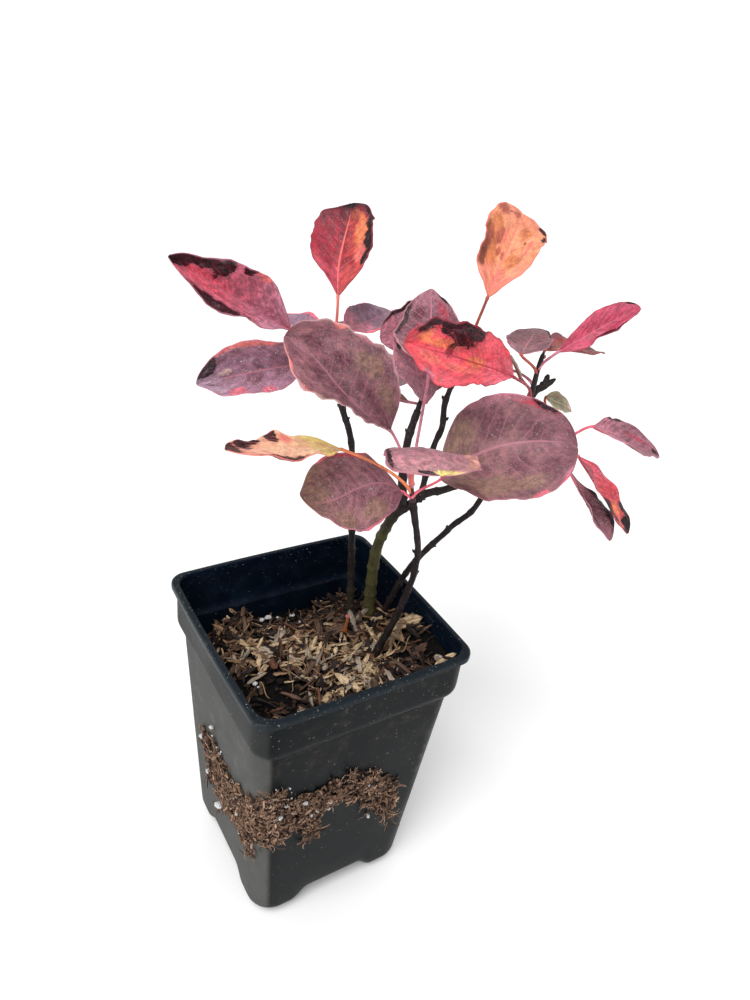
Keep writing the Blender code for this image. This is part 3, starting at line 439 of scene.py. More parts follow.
class Shader:
    """A material whose nodes are made by short calls, each of which returns its output."""

    def __init__(self, name, roughness=0.5, gloss=0.5):
        self.material = bpy.data.materials.new(name)
        self.material.use_nodes = True
        self.tree = self.material.node_tree
        self.surface = self.tree.nodes["Principled BSDF"]
        self.surface.inputs["Roughness"].default_value = roughness
        self.surface.inputs["Specular IOR Level"].default_value = gloss

    def node(self, kind, **settings):
        made = self.tree.nodes.new(kind)
        for key, value in settings.items():
            setattr(made, key, value)
        return made

    def feed(self, socket, value):
        if isinstance(value, bpy.types.NodeSocket):
            self.tree.links.new(value, socket)
        elif isinstance(value, (tuple, list)) and socket.type == "RGBA":
            socket.default_value = (*value, 1.0)
        else:
            socket.default_value = value

    def math(self, operation, first, second=0.0):
        made = self.node("ShaderNodeMath", operation=operation)
        self.feed(made.inputs[0], first)
        self.feed(made.inputs[1], second)
        return made.outputs[0]

    def add(self, first, second):
        return self.math("ADD", first, second)

    def less(self, first, second):
        return self.math("SUBTRACT", first, second)

    def times(self, first, second):
        return self.math("MULTIPLY", first, second)

    def around(self, value, amount):
        """A share from 0 to 1 turned into a swing of this amount about 0."""
        return self.times(self.less(value, 0.5), amount)

    def vector(self, operation, first, second=(0, 0, 0)):
        made = self.node("ShaderNodeVectorMath", operation=operation)
        self.feed(made.inputs[0], first)
        self.feed(made.inputs[1], second)
        return made.outputs["Value" if operation == "LENGTH" else "Vector"]

    def between(self, value, low, high):
        """0 at low and 1 at high, smooth between them."""
        made = self.node("ShaderNodeMapRange", interpolation_type="SMOOTHSTEP")
        self.feed(made.inputs["Value"], value)
        made.inputs["From Min"].default_value = low
        made.inputs["From Max"].default_value = high
        return made.outputs["Result"]

    def fall(self, value, low, high):
        """1 at low and 0 at high, smooth between them."""
        return self.less(1.0, self.between(value, low, high))

    def mix(self, share, first, second, blend="MIX"):
        made = self.node("ShaderNodeMix", data_type="RGBA", blend_type=blend)
        self.feed(made.inputs[0], share)
        self.feed(made.inputs[6], first)
        self.feed(made.inputs[7], second)
        return made.outputs[2]

    def noise(self, place, scale, detail=3.0, roughness=0.55):
        made = self.node("ShaderNodeTexNoise")
        self.feed(made.inputs["Vector"], place)
        made.inputs["Scale"].default_value = scale
        made.inputs["Detail"].default_value = detail
        made.inputs["Roughness"].default_value = roughness
        return made.outputs["Fac"]

    def net(self, place, scale):
        """How far a point lies from the walls of a net of cells."""
        made = self.node("ShaderNodeTexVoronoi", feature="DISTANCE_TO_EDGE")
        self.feed(made.inputs["Vector"], place)
        made.inputs["Scale"].default_value = scale
        return made.outputs["Distance"]

    def uv(self, name):
        return self.node("ShaderNodeUVMap", uv_map=name).outputs["UV"]

    def parts(self, vector):
        made = self.node("ShaderNodeSeparateXYZ")
        self.feed(made.inputs[0], vector)
        return made.outputs[0], made.outputs[1], made.outputs[2]

    def join(self, x, y, z=0.0):
        made = self.node("ShaderNodeCombineXYZ")
        for socket, value in zip(made.inputs, (x, y, z)):
            self.feed(socket, value)
        return made.outputs[0]

    def place(self):
        return self.node("ShaderNodeNewGeometry").outputs["Position"]

    def facing(self):
        return self.parts(self.node("ShaderNodeNewGeometry").outputs["Normal"])

    def finish(self, colour=None, roughness=None, height=None, depth=0.0002, strength=0.5):
        if colour is not None:
            self.feed(self.surface.inputs["Base Color"], colour)
        if roughness is not None:
            self.feed(self.surface.inputs["Roughness"], roughness)
        if height is not None:
            bump = self.node("ShaderNodeBump")
            bump.inputs["Strength"].default_value = strength
            bump.inputs["Distance"].default_value = depth
            self.feed(bump.inputs["Height"], height)
            self.feed(self.surface.inputs["Normal"], bump.outputs["Normal"])
        return self.material


def leaf_shader(name, look, leaf, seed, under):
    """One blade: its tints from base to tip, veins, mottling, burnt patches, margin and midrib."""
    s = Shader(name, gloss=0.18 if under else 0.24)
    along, side, _ = s.parts(s.uv("Leaf"))
    across = s.less(s.times(side, 2.0), 1.0)
    spot = s.join(s.times(along, leaf.length * 1000), s.times(across, leaf.width * 500), seed * 7.3)
    rib_line = s.add(s.times(along, look.rib_tip - look.rib_base), look.rib_base)
    away = s.less(across, rib_line)
    away = s.math("DIVIDE", away, s.less(1.0, s.times(rib_line, s.math("SIGN", away))))
    out = s.math("ABSOLUTE", away)
    broad = s.noise(spot, 0.13, 3.0, 0.6)
    fine = s.noise(spot, 1.1, 3.0, 0.65)
    rough = s.noise(spot, 0.30, 5.0, 0.7)
    bend = s.times(s.math("POWER", out, 1.3), VEIN_BEND)
    pitch = s.times(s.less(along, bend), VEIN_PITCH)
    pitch = s.add(pitch, s.around(s.noise(spot, 0.11, 2.0), 0.9))
    run = s.join(s.times(pitch, 2.2), s.times(away, 1.6), seed * 3.7)
    streak = s.noise(run, 1.0, 4.0, 0.7)
    hair = s.noise(s.join(s.times(pitch, 9.0), s.times(away, 5.0), seed * 1.9), 1.0, 2.0, 0.6)
    stage = s.add(along, s.add(s.around(streak, 0.45), s.around(broad, 0.30)))
    colour = s.mix(s.between(stage, 0.15, 0.45), look.base, look.middle)
    colour = s.mix(s.between(stage, 0.60, 0.95), colour, look.tip)
    if look.right:
        share = s.fall(s.add(across, s.around(streak, 0.12)), -0.08, 0.04)
        other = s.mix(s.between(stage, 0.70, 0.98), look.right, look.tip)
        colour = s.mix(s.times(share, 0.85), colour, other)
    mottled = s.between(s.add(broad, s.around(streak, 0.5)), 0.46, 0.66)
    colour = s.mix(s.times(mottled, 0.75), colour, look.mottle)
    cloud = s.noise(spot, 0.40, 4.0, 0.7)
    dull = s.between(s.add(cloud, s.around(streak, 0.25)), 0.42, 0.64)
    lines = s.math("ABSOLUTE", s.less(s.math("FRACT", pitch), 0.5))
    band = s.between(lines, 0.05, 0.45)
    colour = s.mix(s.times(band, 0.16), colour, (0.45, 0.40, 0.42), "MULTIPLY")
    # Pale patches: waxy bloom, together with painted sheen in place of the leaves' glossy haze
    bloom_and_sheen = s.between(s.add(s.noise(spot, 0.75, 5.0, 0.8), s.around(cloud, 0.9)), 0.50, 0.68)
    colour = s.mix(s.times(bloom_and_sheen, 0.26 * look.fleck), colour, (0.76, 0.50, 0.58))
    char = 0.0
    for patch in look.patches:
        gap = s.vector("SUBTRACT", s.join(along, across), (patch.along, patch.across, 0))
        span = s.vector("LENGTH", s.vector("DIVIDE", gap, (patch.length, patch.width, 1)))
        span = s.add(span, s.add(s.around(streak, 0.35), s.around(rough, 1.5)))
        if patch.colour == BURNT:
            # Burnt tissue, with painted silver sheen over part of it
            grey = s.times(s.between(rough, 0.52, 0.70), 0.16)
            colour = s.mix(s.fall(span, 0.86, 1.02), colour, s.mix(grey, BURNT, SHEEN_SILVER))
            char = s.math("MAXIMUM", char, s.fall(span, 0.86, 1.02))
            colour = s.mix(s.times(s.fall(span, 0.95, 1.25), 0.45), colour,
                           (0.35, 0.25, 0.28), "MULTIPLY")
        else:
            colour = s.mix(s.times(s.fall(span, 0.55, 1.2), 0.85), colour, patch.colour)
    depth = min(1.0, 0.30 + look.fleck)
    colour = s.mix(s.times(dull, 0.60 * depth), colour, (0.40, 0.34, 0.37), "MULTIPLY")
    # Painted sheen: patches of the blade lightened by noise, in place of highlights
    sheen_patches = s.fall(s.add(cloud, s.around(hair, 0.4)), 0.34, 0.50)
    colour = s.mix(s.times(sheen_patches, 0.55 * depth), colour, (1.75, 1.60, 1.60), "MULTIPLY")
    shade = s.between(s.add(s.noise(spot, 0.19, 3.0, 0.6), s.around(cloud, 0.3)), 0.50, 0.66)
    colour = s.mix(s.times(shade, 0.42), colour, (0.52, 0.38, 0.44), "MULTIPLY")
    if under:
        colour = s.mix(0.35, colour, (0.42, 0.26, 0.28))
    web = s.fall(s.net(spot, 0.85), 0.02, 0.12)
    colour = s.mix(s.times(web, 0.18), colour, look.vein)
    # Painted glints: fine silver flecks, kept off burnt tissue
    glint_flecks = s.between(s.add(hair, s.around(fine, 0.4)), 0.66, 0.76)
    glint_flecks = s.times(glint_flecks, s.less(1.0, char))
    colour = s.mix(s.times(glint_flecks, 0.45 * look.fleck), colour, SHEEN_SILVER)
    dots = s.between(s.add(s.noise(spot, 2.4, 1.0, 0.4), s.around(cloud, 0.5)), 0.71, 0.75)
    dots = s.times(dots, s.less(1.0, char))
    colour = s.mix(s.times(dots, 0.60 * look.fleck), colour, (0.86, 0.76, 0.80))
    pits = s.between(s.add(s.noise(spot, 1.5, 1.0, 0.4), s.around(broad, 0.3)), 0.70, 0.76)
    colour = s.mix(s.times(pits, 0.35), colour, BURNT)
    vein = s.times(s.fall(lines, 0.03, 0.09), s.times(s.fall(out, 0.55, 0.95), s.fall(along, 0.70, 0.92)))
    colour = s.mix(s.times(vein, 0.40), colour, look.vein)
    rim = s.add(s.math("ABSOLUTE", across), s.around(cloud, 0.10))
    edge = s.between(rim, look.border - 0.02, look.border + 0.02)
    colour = s.mix(s.times(edge, 0.60), colour, look.margin)
    width = s.add(out, s.times(along, 0.03))
    rib = s.times(s.fall(width, 0.030, 0.060), s.fall(along, 0.78, 0.98))
    colour = s.mix(s.times(rib, 0.80), colour, look.rib)
    relief = s.add(s.times(band, 0.6), s.add(s.times(fine, 0.5), s.times(web, 0.25)))
    height = s.less(s.less(relief, s.times(vein, 0.5)), s.times(rib, 0.6))
    roughness = s.add(s.times(streak, 0.28), 0.45 if under else 0.30)
    return s.finish(colour, roughness, height, 0.00035, 0.55)


def bark_shader(name, low, high, light, change=0.125):
    """Dark ribbed bark with pale breathing pores, of one colour at its foot and another above."""
    s = Shader(name, 0.6, 0.2)
    place = s.place()
    x, y, z = s.parts(place)
    streaks = s.noise(s.join(x, y, s.times(z, 0.22)), 1100.0, 3.0, 0.6)
    patches = s.noise(place, 160.0, 3.0)
    climb = s.between(s.add(z, s.around(patches, 0.02)), change - 0.014, change + 0.014)
    colour = s.mix(climb, low, high)
    colour = s.mix(s.times(s.between(streaks, 0.45, 0.75), 0.7), colour, light)
    colour = s.mix(s.times(s.between(patches, 0.50, 0.72), 0.35), colour, light)
    pores = s.between(s.noise(s.join(x, y, s.times(z, 0.6)), 1500.0, 1.0, 0.3), 0.68, 0.73)
    colour = s.mix(s.times(pores, 0.35), colour, (0.24, 0.18, 0.14))
    return s.finish(colour, None, s.add(streaks, pores), 0.0004, 0.8)


def stalk_shader(name, colour):
    s = Shader(name, 0.40, 0.25)
    place = s.place()
    tint = s.between(s.noise(place, 110.0, 2.0), 0.35, 0.65)
    shade = tuple(0.55 * part for part in colour)
    streaks = s.between(s.noise(place, 700.0, 3.0), 0.5, 0.7)
    mixed = s.mix(s.times(tint, 0.7), colour, shade)
    light = tuple(min(1.5 * part + 0.01, 1.0) for part in colour)
    mixed = s.mix(s.times(streaks, 0.5), mixed, light)
    return s.finish(mixed, None, s.noise(place, 1500.0, 2.0), 0.0001, 0.3)


def pot_shader():
    """Black moulded plastic: dust with a painted grey sheen on its left side, dust under the collar, a painted
    bluish sheen on the lip, specks, glossy smears.
    """
    s = Shader("pot_plastic", 0.4, 0.08)
    place = s.place()
    x, y, z = s.parts(place)
    nx, ny, nz = s.facing()
    cloud = s.noise(place, 45.0, 4.0, 0.6)
    blotch = s.noise(place, 130.0, 4.0, 0.65)
    fine = s.noise(place, 900.0, 3.0, 0.6)
    inward = s.less(s.times(x, nx), s.times(s.times(y, ny), -1.0))
    inside = s.times(s.fall(inward, -0.018, -0.006), s.between(z, 0.092, 0.096))
    colour = s.mix(s.between(cloud, 0.35, 0.7), (0.0014, 0.0024, 0.0031), (0.0032, 0.0045, 0.0054))
    dust_and_sheen = s.between(s.add(cloud, s.around(blotch, 0.6)), 0.28, 0.72)
    # Painted sky reflection: the left face is painted light grey, mottled and strongest below the collar; the
    # same mask also makes it rougher, as dust does
    left = s.times(s.fall(nx, -0.60, -0.35), s.add(s.times(dust_and_sheen, 0.30), 0.65))
    left = s.times(left, s.add(s.times(s.fall(z, 0.106, 0.109), 0.75), 0.25))
    colour = s.mix(s.times(left, 0.90), colour, (0.108, 0.109, 0.105))
    haze = s.times(s.between(cloud, 0.45, 0.75), s.fall(z, 0.030, 0.110))
    colour = s.mix(s.times(haze, 0.08), colour, (0.050, 0.049, 0.046))
    under = s.times(s.between(z, 0.088, 0.103), s.fall(z, 0.1055, 0.1075))
    under = s.times(under, s.between(s.add(blotch, s.around(fine, 0.5)), 0.48, 0.66))
    colour = s.mix(s.times(under, 0.22), colour, (0.085, 0.062, 0.045))
    # Painted reflection: the lip is painted a lighter blue in place of the sky on its gloss; the same mask
    # also makes it glossier
    lip = s.between(z, 0.1232, 0.1238)
    colour = s.mix(s.times(lip, 0.55), colour, (0.017, 0.026, 0.034))
    grime = s.times(s.between(z, 0.108, 0.1085), s.between(blotch, 0.55, 0.75))
    colour = s.mix(s.times(grime, 0.18), colour, (0.085, 0.078, 0.068))
    colour = s.mix(inside, colour, s.mix(s.between(blotch, 0.4, 0.7), (0.0016, 0.0050, 0.0120),
                                         (0.0045, 0.0110, 0.0220)))
    grain = s.noise(place, 1500.0, 1.0, 0.3)
    specks = s.between(s.add(grain, s.times(s.between(z, 0.100, 0.127), 0.040)), 0.770, 0.803)
    colour = s.mix(s.times(specks, 0.65), colour, (0.34, 0.31, 0.26))
    crumbs = s.between(s.add(s.noise(place, 520.0, 2.0, 0.4), s.around(blotch, 0.12)), 0.735, 0.765)
    colour = s.mix(s.times(crumbs, 0.5), colour, (0.13, 0.085, 0.050))
    smear = s.times(s.between(blotch, 0.54, 0.66), s.times(s.between(z, 0.045, 0.070),
                                                            s.fall(z, 0.095, 0.110)))
    roughness = s.add(s.times(cloud, 0.35), 0.26)
    roughness = s.less(roughness, s.times(smear, 0.16))
    roughness = s.add(roughness, s.times(left, 0.30))
    roughness = s.less(roughness, s.times(lip, 0.18))
    return s.finish(colour, roughness, s.add(fine, s.times(specks, 2.0)), 0.00012, 0.22)


def mix_shader():
    """Dark peat with paler crumbs."""
    s = Shader("peat_dark", 0.80, 0.10)
    place = s.place()
    grains = s.noise(place, 750.0, 4.0, 0.7)
    lumps = s.noise(place, 260.0, 3.0, 0.6)
    colour = s.mix(s.between(grains, 0.35, 0.7), (0.0015, 0.0015, 0.0020), (0.0080, 0.0060, 0.0060))
    colour = s.mix(s.times(s.between(lumps, 0.60, 0.72), 0.3), colour, (0.030, 0.020, 0.014))
    return s.finish(colour, None, s.add(grains, lumps), 0.0008, 0.9)


def chip_shader(name, light, dark):
    """A chip of hull or bark, ribbed along its length, with painted shade darkening the grooves between its
    ribs.
    """
    s = Shader(name, 0.62, 0.2)
    along, side, _ = s.parts(s.uv("Chip"))
    place = s.place()
    ribs = s.noise(s.join(s.times(along, 0.7), s.times(side, 9.0), 0.0), 1.0, 3.0, 0.7)
    cloud = s.noise(place, 420.0, 3.0, 0.6)
    # Painted shade: where the ribs' noise is low, and the bump sinks the grooves, the chip takes its dark tone
    colour = s.mix(s.between(ribs, 0.38, 0.62), dark, light)
    colour = s.mix(s.times(s.between(cloud, 0.45, 0.7), 0.55), colour, tuple(0.45 * c for c in dark))
    return s.finish(colour, None, s.add(ribs, s.times(cloud, 0.4)), 0.00035, 0.7)


def grain_shader(name, light, dark, roughness=0.85):
    """Small lumps and fibres, spotted at the scale of their own grain."""
    s = Shader(name, roughness, 0.12)
    place = s.place()
    grain = s.noise(place, 1300.0, 3.0, 0.6)
    tone = s.noise(place, 150.0, 2.0)
    colour = s.mix(s.between(s.add(s.times(grain, 0.6), s.times(tone, 0.4)), 0.38, 0.62), dark, light)
    return s.finish(colour, None, grain, 0.0003, 0.6)


# Meshes


class Build:
    """The vertices, faces, slots and maps of a piece that is put together from closed skins."""

    def __init__(self):
        self.vertices, self.faces, self.slots = [], [], []
        self.maps = {}

    def grow(self, vertices, faces, slot=0, **maps):
        """Add a closed skin, with a corner-by-corner list for each of the piece's maps."""
        offset = len(self.vertices)
        self.vertices.extend(vertices)
        self.faces.extend(tuple(offset + index for index in face) for face in faces)
        self.slots.extend([slot] * len(faces) if isinstance(slot, int) else slot)
        for name, pairs in maps.items():
            self.maps.setdefault(name, []).extend(pairs)

    def make(self, name, materials, slot, *replaced, smooth=True):
        mesh = bpy.data.meshes.new(name)
        mesh.from_pydata([tuple(v) for v in self.vertices], [], self.faces)
        for material in materials:
            mesh.materials.append(material)
        mesh.polygons.foreach_set("material_index", self.slots)
        for layer, pairs in self.maps.items():
            values = mesh.uv_layers.new(name=layer)
            values.data.foreach_set("uv", [part for pair in pairs for part in pair])
        if smooth:
            mesh.shade_smooth()
        piece = bpy.data.objects.new(name, mesh)
        bpy.context.scene.collection.objects.link(piece)
        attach(piece, "root")
        if replaced:
            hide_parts(*replaced)
        return piece


def closed_sheet(rows, columns, place):
    """Two skins over a grid that share their rim: vertices, faces, the grid corners, the side of each.

    place(row share, column share, side) gives a point, with side 1 above, -1 below, 0 on the rim."""
    vertices, faces, corners, sides = [], [], [], []
    grid = {}
    for side in (1, -1):
        for row in range(rows + 1):
            for column in range(columns + 1):
                rim = row in (0, rows) or column in (0, columns)
                if rim and side == -1:
                    grid[side, row, column] = grid[1, row, column]
                    continue
                grid[side, row, column] = len(vertices)
                vertices.append(place(row / rows, column / columns, 0 if rim else side))
    for side in (1, -1):
        for row in range(rows):
            for column in range(columns):
                quad = [(row, column), (row + 1, column), (row + 1, column + 1), (row, column + 1)]
                if side == -1:
                    quad.reverse()
                faces.append(tuple(grid[side, r, c] for r, c in quad))
                corners.extend((r / rows, c / columns) for r, c in quad)
                sides.append(0 if side == 1 else 1)
    return vertices, faces, corners, sides


def smooth_path(start, runs, step):
    """Points about one step apart on a smooth line through the ends of the runs."""
    corners = [Vector(start)]
    for run in runs:
        corners.append(corners[-1] + run.length * unit(run.heading, run.lift))
    first = 2 * corners[0] - corners[1]
    last = 2 * corners[-1] - corners[-2]
    knots = [first] + corners + [last]
    points = [corners[0]]
    for index, run in enumerate(runs):
        before, here, there, after = knots[index:index + 4]
        pieces = max(1, round(run.length / step))
        for piece in range(1, pieces + 1):
            t = piece / pieces
            points.append(0.5 * (2 * here + (there - before) * t
                                 + (2 * before - 5 * here + 4 * there - after) * t ** 2
                                 + (3 * here - before - 3 * there + after) * t ** 3))
    return points


def curve(start, leaving, end, arriving, steps, pull=6):
    """Points on a smooth curve that leaves and arrives in these directions."""
    span = (end - start).length
    reach_out = start + leaving * span / pull
    reach_in = end - arriving * span / pull
    points = []
    for step in range(steps + 1):
        t = step / steps
        points.append((1 - t) ** 3 * start + 3 * t * (1 - t) ** 2 * reach_out
                      + 3 * t ** 2 * (1 - t) * reach_in + t ** 3 * end)
    return points


def tube_geometry(points, radii, sides, relief=0.0, seed=0.0):
    """Vertices and faces of a closed tube, its skin roughened by the relief into long ribs."""
    vertices, faces = [], []
    aside = Vector((1, 0, 0)) if abs((points[1] - points[0]).normalized().x) < 0.9 else Vector((0, 1, 0))
    for index, (point, radius) in enumerate(zip(points, radii)):
        ahead = points[min(index + 1, len(points) - 1)] - points[max(index - 1, 0)]
        ahead.normalize()
        aside = (aside - ahead * aside.dot(ahead)).normalized()
        other = ahead.cross(aside)
        for side in range(sides):
            angle = 2 * math.pi * side / sides
            out = math.cos(angle) * aside + math.sin(angle) * other
            bump = 0.0
            if relief:
                spot = (point + out * radius) * 900
                bump = relief * noise.noise(Vector((spot.x, spot.y, spot.z * 0.3 + seed)))
            vertices.append(point + out * (radius + bump))
    for lower in range(len(points) - 1):
        for side in range(sides):
            after = (side + 1) % sides
            faces.append((lower * sides + side, lower * sides + after,
                          (lower + 1) * sides + after, (lower + 1) * sides + side))
    faces.append(tuple(reversed(range(sides))))
    faces.append(tuple((len(points) - 1) * sides + side for side in range(sides)))
    return vertices, faces


def knot_share(knots, along):
    """The value at this place between knots, eased from each to the next."""
    if not knots:
        return 1.0
    if along <= knots[0][0]:
        return knots[0][1]
    for (start, low), (end, high) in zip(knots, knots[1:]):
        if along <= end:
            t = (along - start) / (end - start)
            return low + (high - low) * t * t * (3 - 2 * t)
    return knots[-1][1]


class Blade:
    """The shape of one leaf blade, in the numbers of the solid and the form of its look."""

    def __init__(self, leaf, look, seed):
        self.leaf, self.look, self.seed = leaf, look, seed
        self.skew = math.log(0.5) / math.log(leaf.widest)
        self.arch = math.radians(leaf.arch) or 0.0001
        self.bend_radius = leaf.length / (2 * math.sin(self.arch / 2))
        self.fold = math.radians(leaf.fold)
        ahead = unit(leaf.heading, leaf.lift)
        left = Matrix.Rotation(math.radians(leaf.roll), 3, ahead) @ unit(leaf.heading + 90, 0)
        self.axes = Matrix((ahead, left, ahead.cross(left))).transposed()
        self.softness = 0.12 + 0.35 * max(abs(look.rib_base), abs(look.rib_tip))
        self.burns = [patch for patch in look.patches if patch.colour == BURNT]

    def half_width(self, along):
        bluntness = BASE_BLUNTNESS if along < self.leaf.widest else TIP_BLUNTNESS
        swell = max(math.sin(math.pi * along ** self.skew), 0.0) ** bluntness
        end = BASE_WIDTH + (TIP_WIDTH - BASE_WIDTH) * along
        return max(self.leaf.width * swell, end) / 2

    def rib_at(self, along):
        return self.look.rib_base + (self.look.rib_tip - self.look.rib_base) * along

    def from_rib(self, along, across):
        """How far out from the midrib a place lies, as a share of the way to the margin."""
        gap = across - self.rib_at(along)
        return gap / (1 - self.rib_at(along) * math.copysign(1, gap))

    def burnt(self, along, across):
        share = 0.0
        for patch in self.burns:
            span = math.hypot((along - patch.along) / patch.length, (across - patch.across) / patch.width)
            share = max(share, 1.2 - span)
        return min(share, 1.0)

    def point(self, along, across, lift=0.0, plain=False):
        """A point of the blade, lifted off its middle surface along its upper side."""
        leaf, look = self.leaf, self.look
        half = self.half_width(along)
        out = abs(across)
        rim = knot_share(look.left_rim if across > 0 else look.right_rim, along)
        rim = 1 + (rim - 1) * min(1.0, out * 1.5)
        reach = across * half * rim
        if not plain:
            vein = (along - VEIN_BEND * out ** 1.3) * VEIN_PITCH
            ragged = 0.022 * noise.noise(Vector((along * 16, 3.0 * (across > 0), self.seed * 5.3)))
            ragged += look.scallop * math.cos(2 * math.pi * vein)
            reach *= 1 + ragged * out ** 3
        softness = self.softness
        away = abs(self.from_rib(along, across))
        valley = (math.hypot(away, softness) - softness) / (math.hypot(1, softness) - softness)
        above = valley * half * rim * math.sin(self.fold)
        aside = reach * math.cos(self.fold)
        steep = math.sin(self.fold) * min(1.0, 2 * away)
        aside -= math.copysign(steep, across) * lift
        above += math.cos(self.fold) * lift
        twist = math.radians(leaf.twist) * (along - 0.5)
        aside, above = (aside * math.cos(twist) - above * math.sin(twist),
                        aside * math.sin(twist) + above * math.cos(twist))
        bend = self.arch * (0.5 - along)
        local = Vector((
            self.bend_radius * (math.sin(self.arch / 2) - math.sin(bend)) - math.sin(bend) * above,
            aside,
            self.bend_radius * (math.cos(bend) - math.cos(self.arch / 2)) + math.cos(bend) * above))
        return Vector(leaf.base) + self.axes @ local

    def stand_off(self, along, across):
        """Waves at the margin, puckers between the sunk veins, and the crinkles of burnt tissue."""
        out = abs(across)
        away = abs(self.from_rib(along, across))
        size = self.half_width(along)
        seed = self.seed
        wave = math.sin(along * 15 + seed * 2.1 + (1.7 if across > 0 else 0.0))
        lift = self.look.wave * size * out ** 3 * wave
        lift += 0.07 * size * noise.noise(Vector((along * 3, across * 1.5, seed * 9.1)))
        fade = min(1.0, 8 * along) * min(1.0, 6 * (1 - along))
        vein = (along - VEIN_BEND * away ** 1.3) * VEIN_PITCH
        drift = noise.noise(Vector((along * 4.4, across * 1.7, seed * 3.1)))
        ridge = abs(math.sin(math.pi * (vein + 0.35 * drift)))
        lift += 0.044 * size * (ridge ** 0.7 - 0.5) * (1 - away) ** 0.5 * min(1.0, away * 6) * fade
        lift -= 0.00022 * max(0.0, 1 - away / 0.09) * (1 - along)
        burnt = self.burnt(along, across)
        if burnt > 0:
            crinkle = noise.noise(Vector((along * 11, across * 5, seed * 4.7)))
            curl = noise.noise(Vector((along * 5, across * 2, seed * 8.3)))
            lift += size * burnt * (0.10 * crinkle + 0.16 * curl)
        return lift * fade


def blade_skin(blade, cell):
    """A blade's closed skin with its map of along and across, and its own two cells of the sheet."""

    def place(row, column, side):
        along = (1 - math.cos(math.pi * row)) / 2
        across = math.sin(math.pi / 2 * (2 * column - 1))
        lift = blade.stand_off(along, across) + side * BLADE_THICKNESS / 2
        return blade.point(along, across, lift)

    vertices, faces, corners, sides = closed_sheet(BLADE_ROWS, BLADE_COLUMNS, place)
    leaf_map = [((1 - math.cos(math.pi * r)) / 2, (math.sin(math.pi / 2 * (2 * c - 1)) + 1) / 2)
                for r, c in corners]
    bake_map = []
    for index, (row, column) in enumerate(corners):
        low, high = cell[sides[index // 4]]
        bake_map.append((low[0] + (high[0] - low[0]) * row, low[1] + (high[1] - low[1]) * column))
    return vertices, faces, sides, leaf_map, bake_map


def cells_for(count):
    """Two cells of a square sheet for each leaf, for its upper and lower side."""
    columns = math.ceil(math.sqrt(2 * count))
    rows = math.ceil(2 * count / columns)
    margin = 0.01
    cells = []
    for index in range(2 * count):
        column, row = index % columns, index // columns
        low = ((column + margin) / columns, (row + margin) / rows)
        high = ((column + 1 - margin) / columns, (row + 1 - margin) / rows)
        cells.append((low, high))
    return [cells[2 * index:2 * index + 2] for index in range(count)]


# Foliage


def joined_foliage(name, carrier, runs, leaves, first_seed):
    """A mass of foliage: its blades in one piece, its twig and stalks in another."""
    tip = smooth_path(carrier.start, carrier.runs, 0.005)
    ahead = (tip[-1] - tip[-2]).normalized()
    twig = smooth_path(tip[-1] + GAP * ahead, runs, 0.0025)
    blades, stalks = Build(), Build()
    blade_materials, tints = [], [WINE if name == "foliage_front" else BARK]
    fine_twig = [tip[-1] - 0.0010 * ahead] + smooth_path(tip[-1] + GAP * ahead, runs, 0.0006)
    last = len(fine_twig) - 1
    radii = [TWIG_RADIUS + (TWIG_TIP_RADIUS - TWIG_RADIUS) * i / last for i in range(last + 1)]
    radii[-2:] = [0.7 * radii[-2], 0.35 * radii[-1]]
    stalks.grow(*tube_geometry(fine_twig, radii, 14, 0.00009, first_seed))
    for index, (leaf, cell) in enumerate(zip(leaves, cells_for(len(leaves)))):
        seed = first_seed + index
        look = LOOKS[leaf.kind]
        blade = Blade(leaf, look, seed)
        vertices, faces, sides, leaf_map, bake_map = blade_skin(blade, cell)
        slots = [2 * index + side for side in sides]
        blades.grow(vertices, faces, slots, Leaf=leaf_map, OFBake=bake_map)
        label = "%s_%d" % (name, index)
        blade_materials.append(leaf_shader("blade_" + label, look, leaf, seed, under=False))
        blade_materials.append(leaf_shader("under_" + label, look, leaf, seed, under=True))
        if look.stalk not in tints:
            tints.append(look.stalk)
        grow_stalk(stalks, blade, twig, tints.index(look.stalk))
    short = name.replace("foliage_", "")
    blades.make("leaves_" + short, blade_materials, "leaf", name)
    stalk_materials = [stalk_shader("stalk_%s_%d" % (short, index), tint)
                       for index, tint in enumerate(tints)]
    stalks.make("stalks_" + short, stalk_materials, "leaf", name)


def grow_stalk(stalks, blade, twig, slot):
    """The stalk from the twig to the blade, a bud where it leaves, and the midrib under the blade."""
    leaf = blade.leaf
    place = leaf.foot * (len(twig) - 1)
    index = min(int(place), len(twig) - 2)
    start = twig[index].lerp(twig[index + 1], place - index)
    base = blade.point(0.0, 0.0, plain=True)
    straight = (base - start).normalized()
    leaving = (twig[index + 1] - twig[index]).normalized() + straight
    arriving = (blade.point(0.07, blade.rib_at(0.07), plain=True) - base).normalized() + straight
    steps = 16
    points = curve(start, leaving, base, arriving, steps)
    radii = [PETIOLE_RADIUS * (0.95 + 0.7 * math.exp(-step / 2) + 0.25 * (step == steps))
             for step in range(steps + 1)]
    rib_steps = 22
    for step in range(1, rib_steps + 1):
        along = 0.90 * step / rib_steps
        across = blade.rib_at(along)
        points.append(blade.point(along, across, blade.stand_off(along, across) - 0.00030))
        radii.append(PETIOLE_RADIUS * (0.85 - 0.68 * step / rib_steps))
    stalks.grow(*tube_geometry(points, radii, 8, 0.00003, blade.seed), slot)
    side = leaving.cross(Vector((0, 0, 1))).normalized()
    add_bud(stalks, start + 0.0006 * side, (leaving + 0.4 * side).normalized(), 0.0016, slot)


def add_bud(build, foot, ahead, length, slot=0):
    """A small pointed bud."""
    profile = ((0.0, 0.30), (0.2, 0.42), (0.45, 0.40), (0.7, 0.26), (0.9, 0.10), (1.0, 0.02))
    points = [foot + ahead * length * along for along, _ in profile]
    build.grow(*tube_geometry(points, [0.9 * length * wide for _, wide in profile], 8), slot)


# Stems and boughs


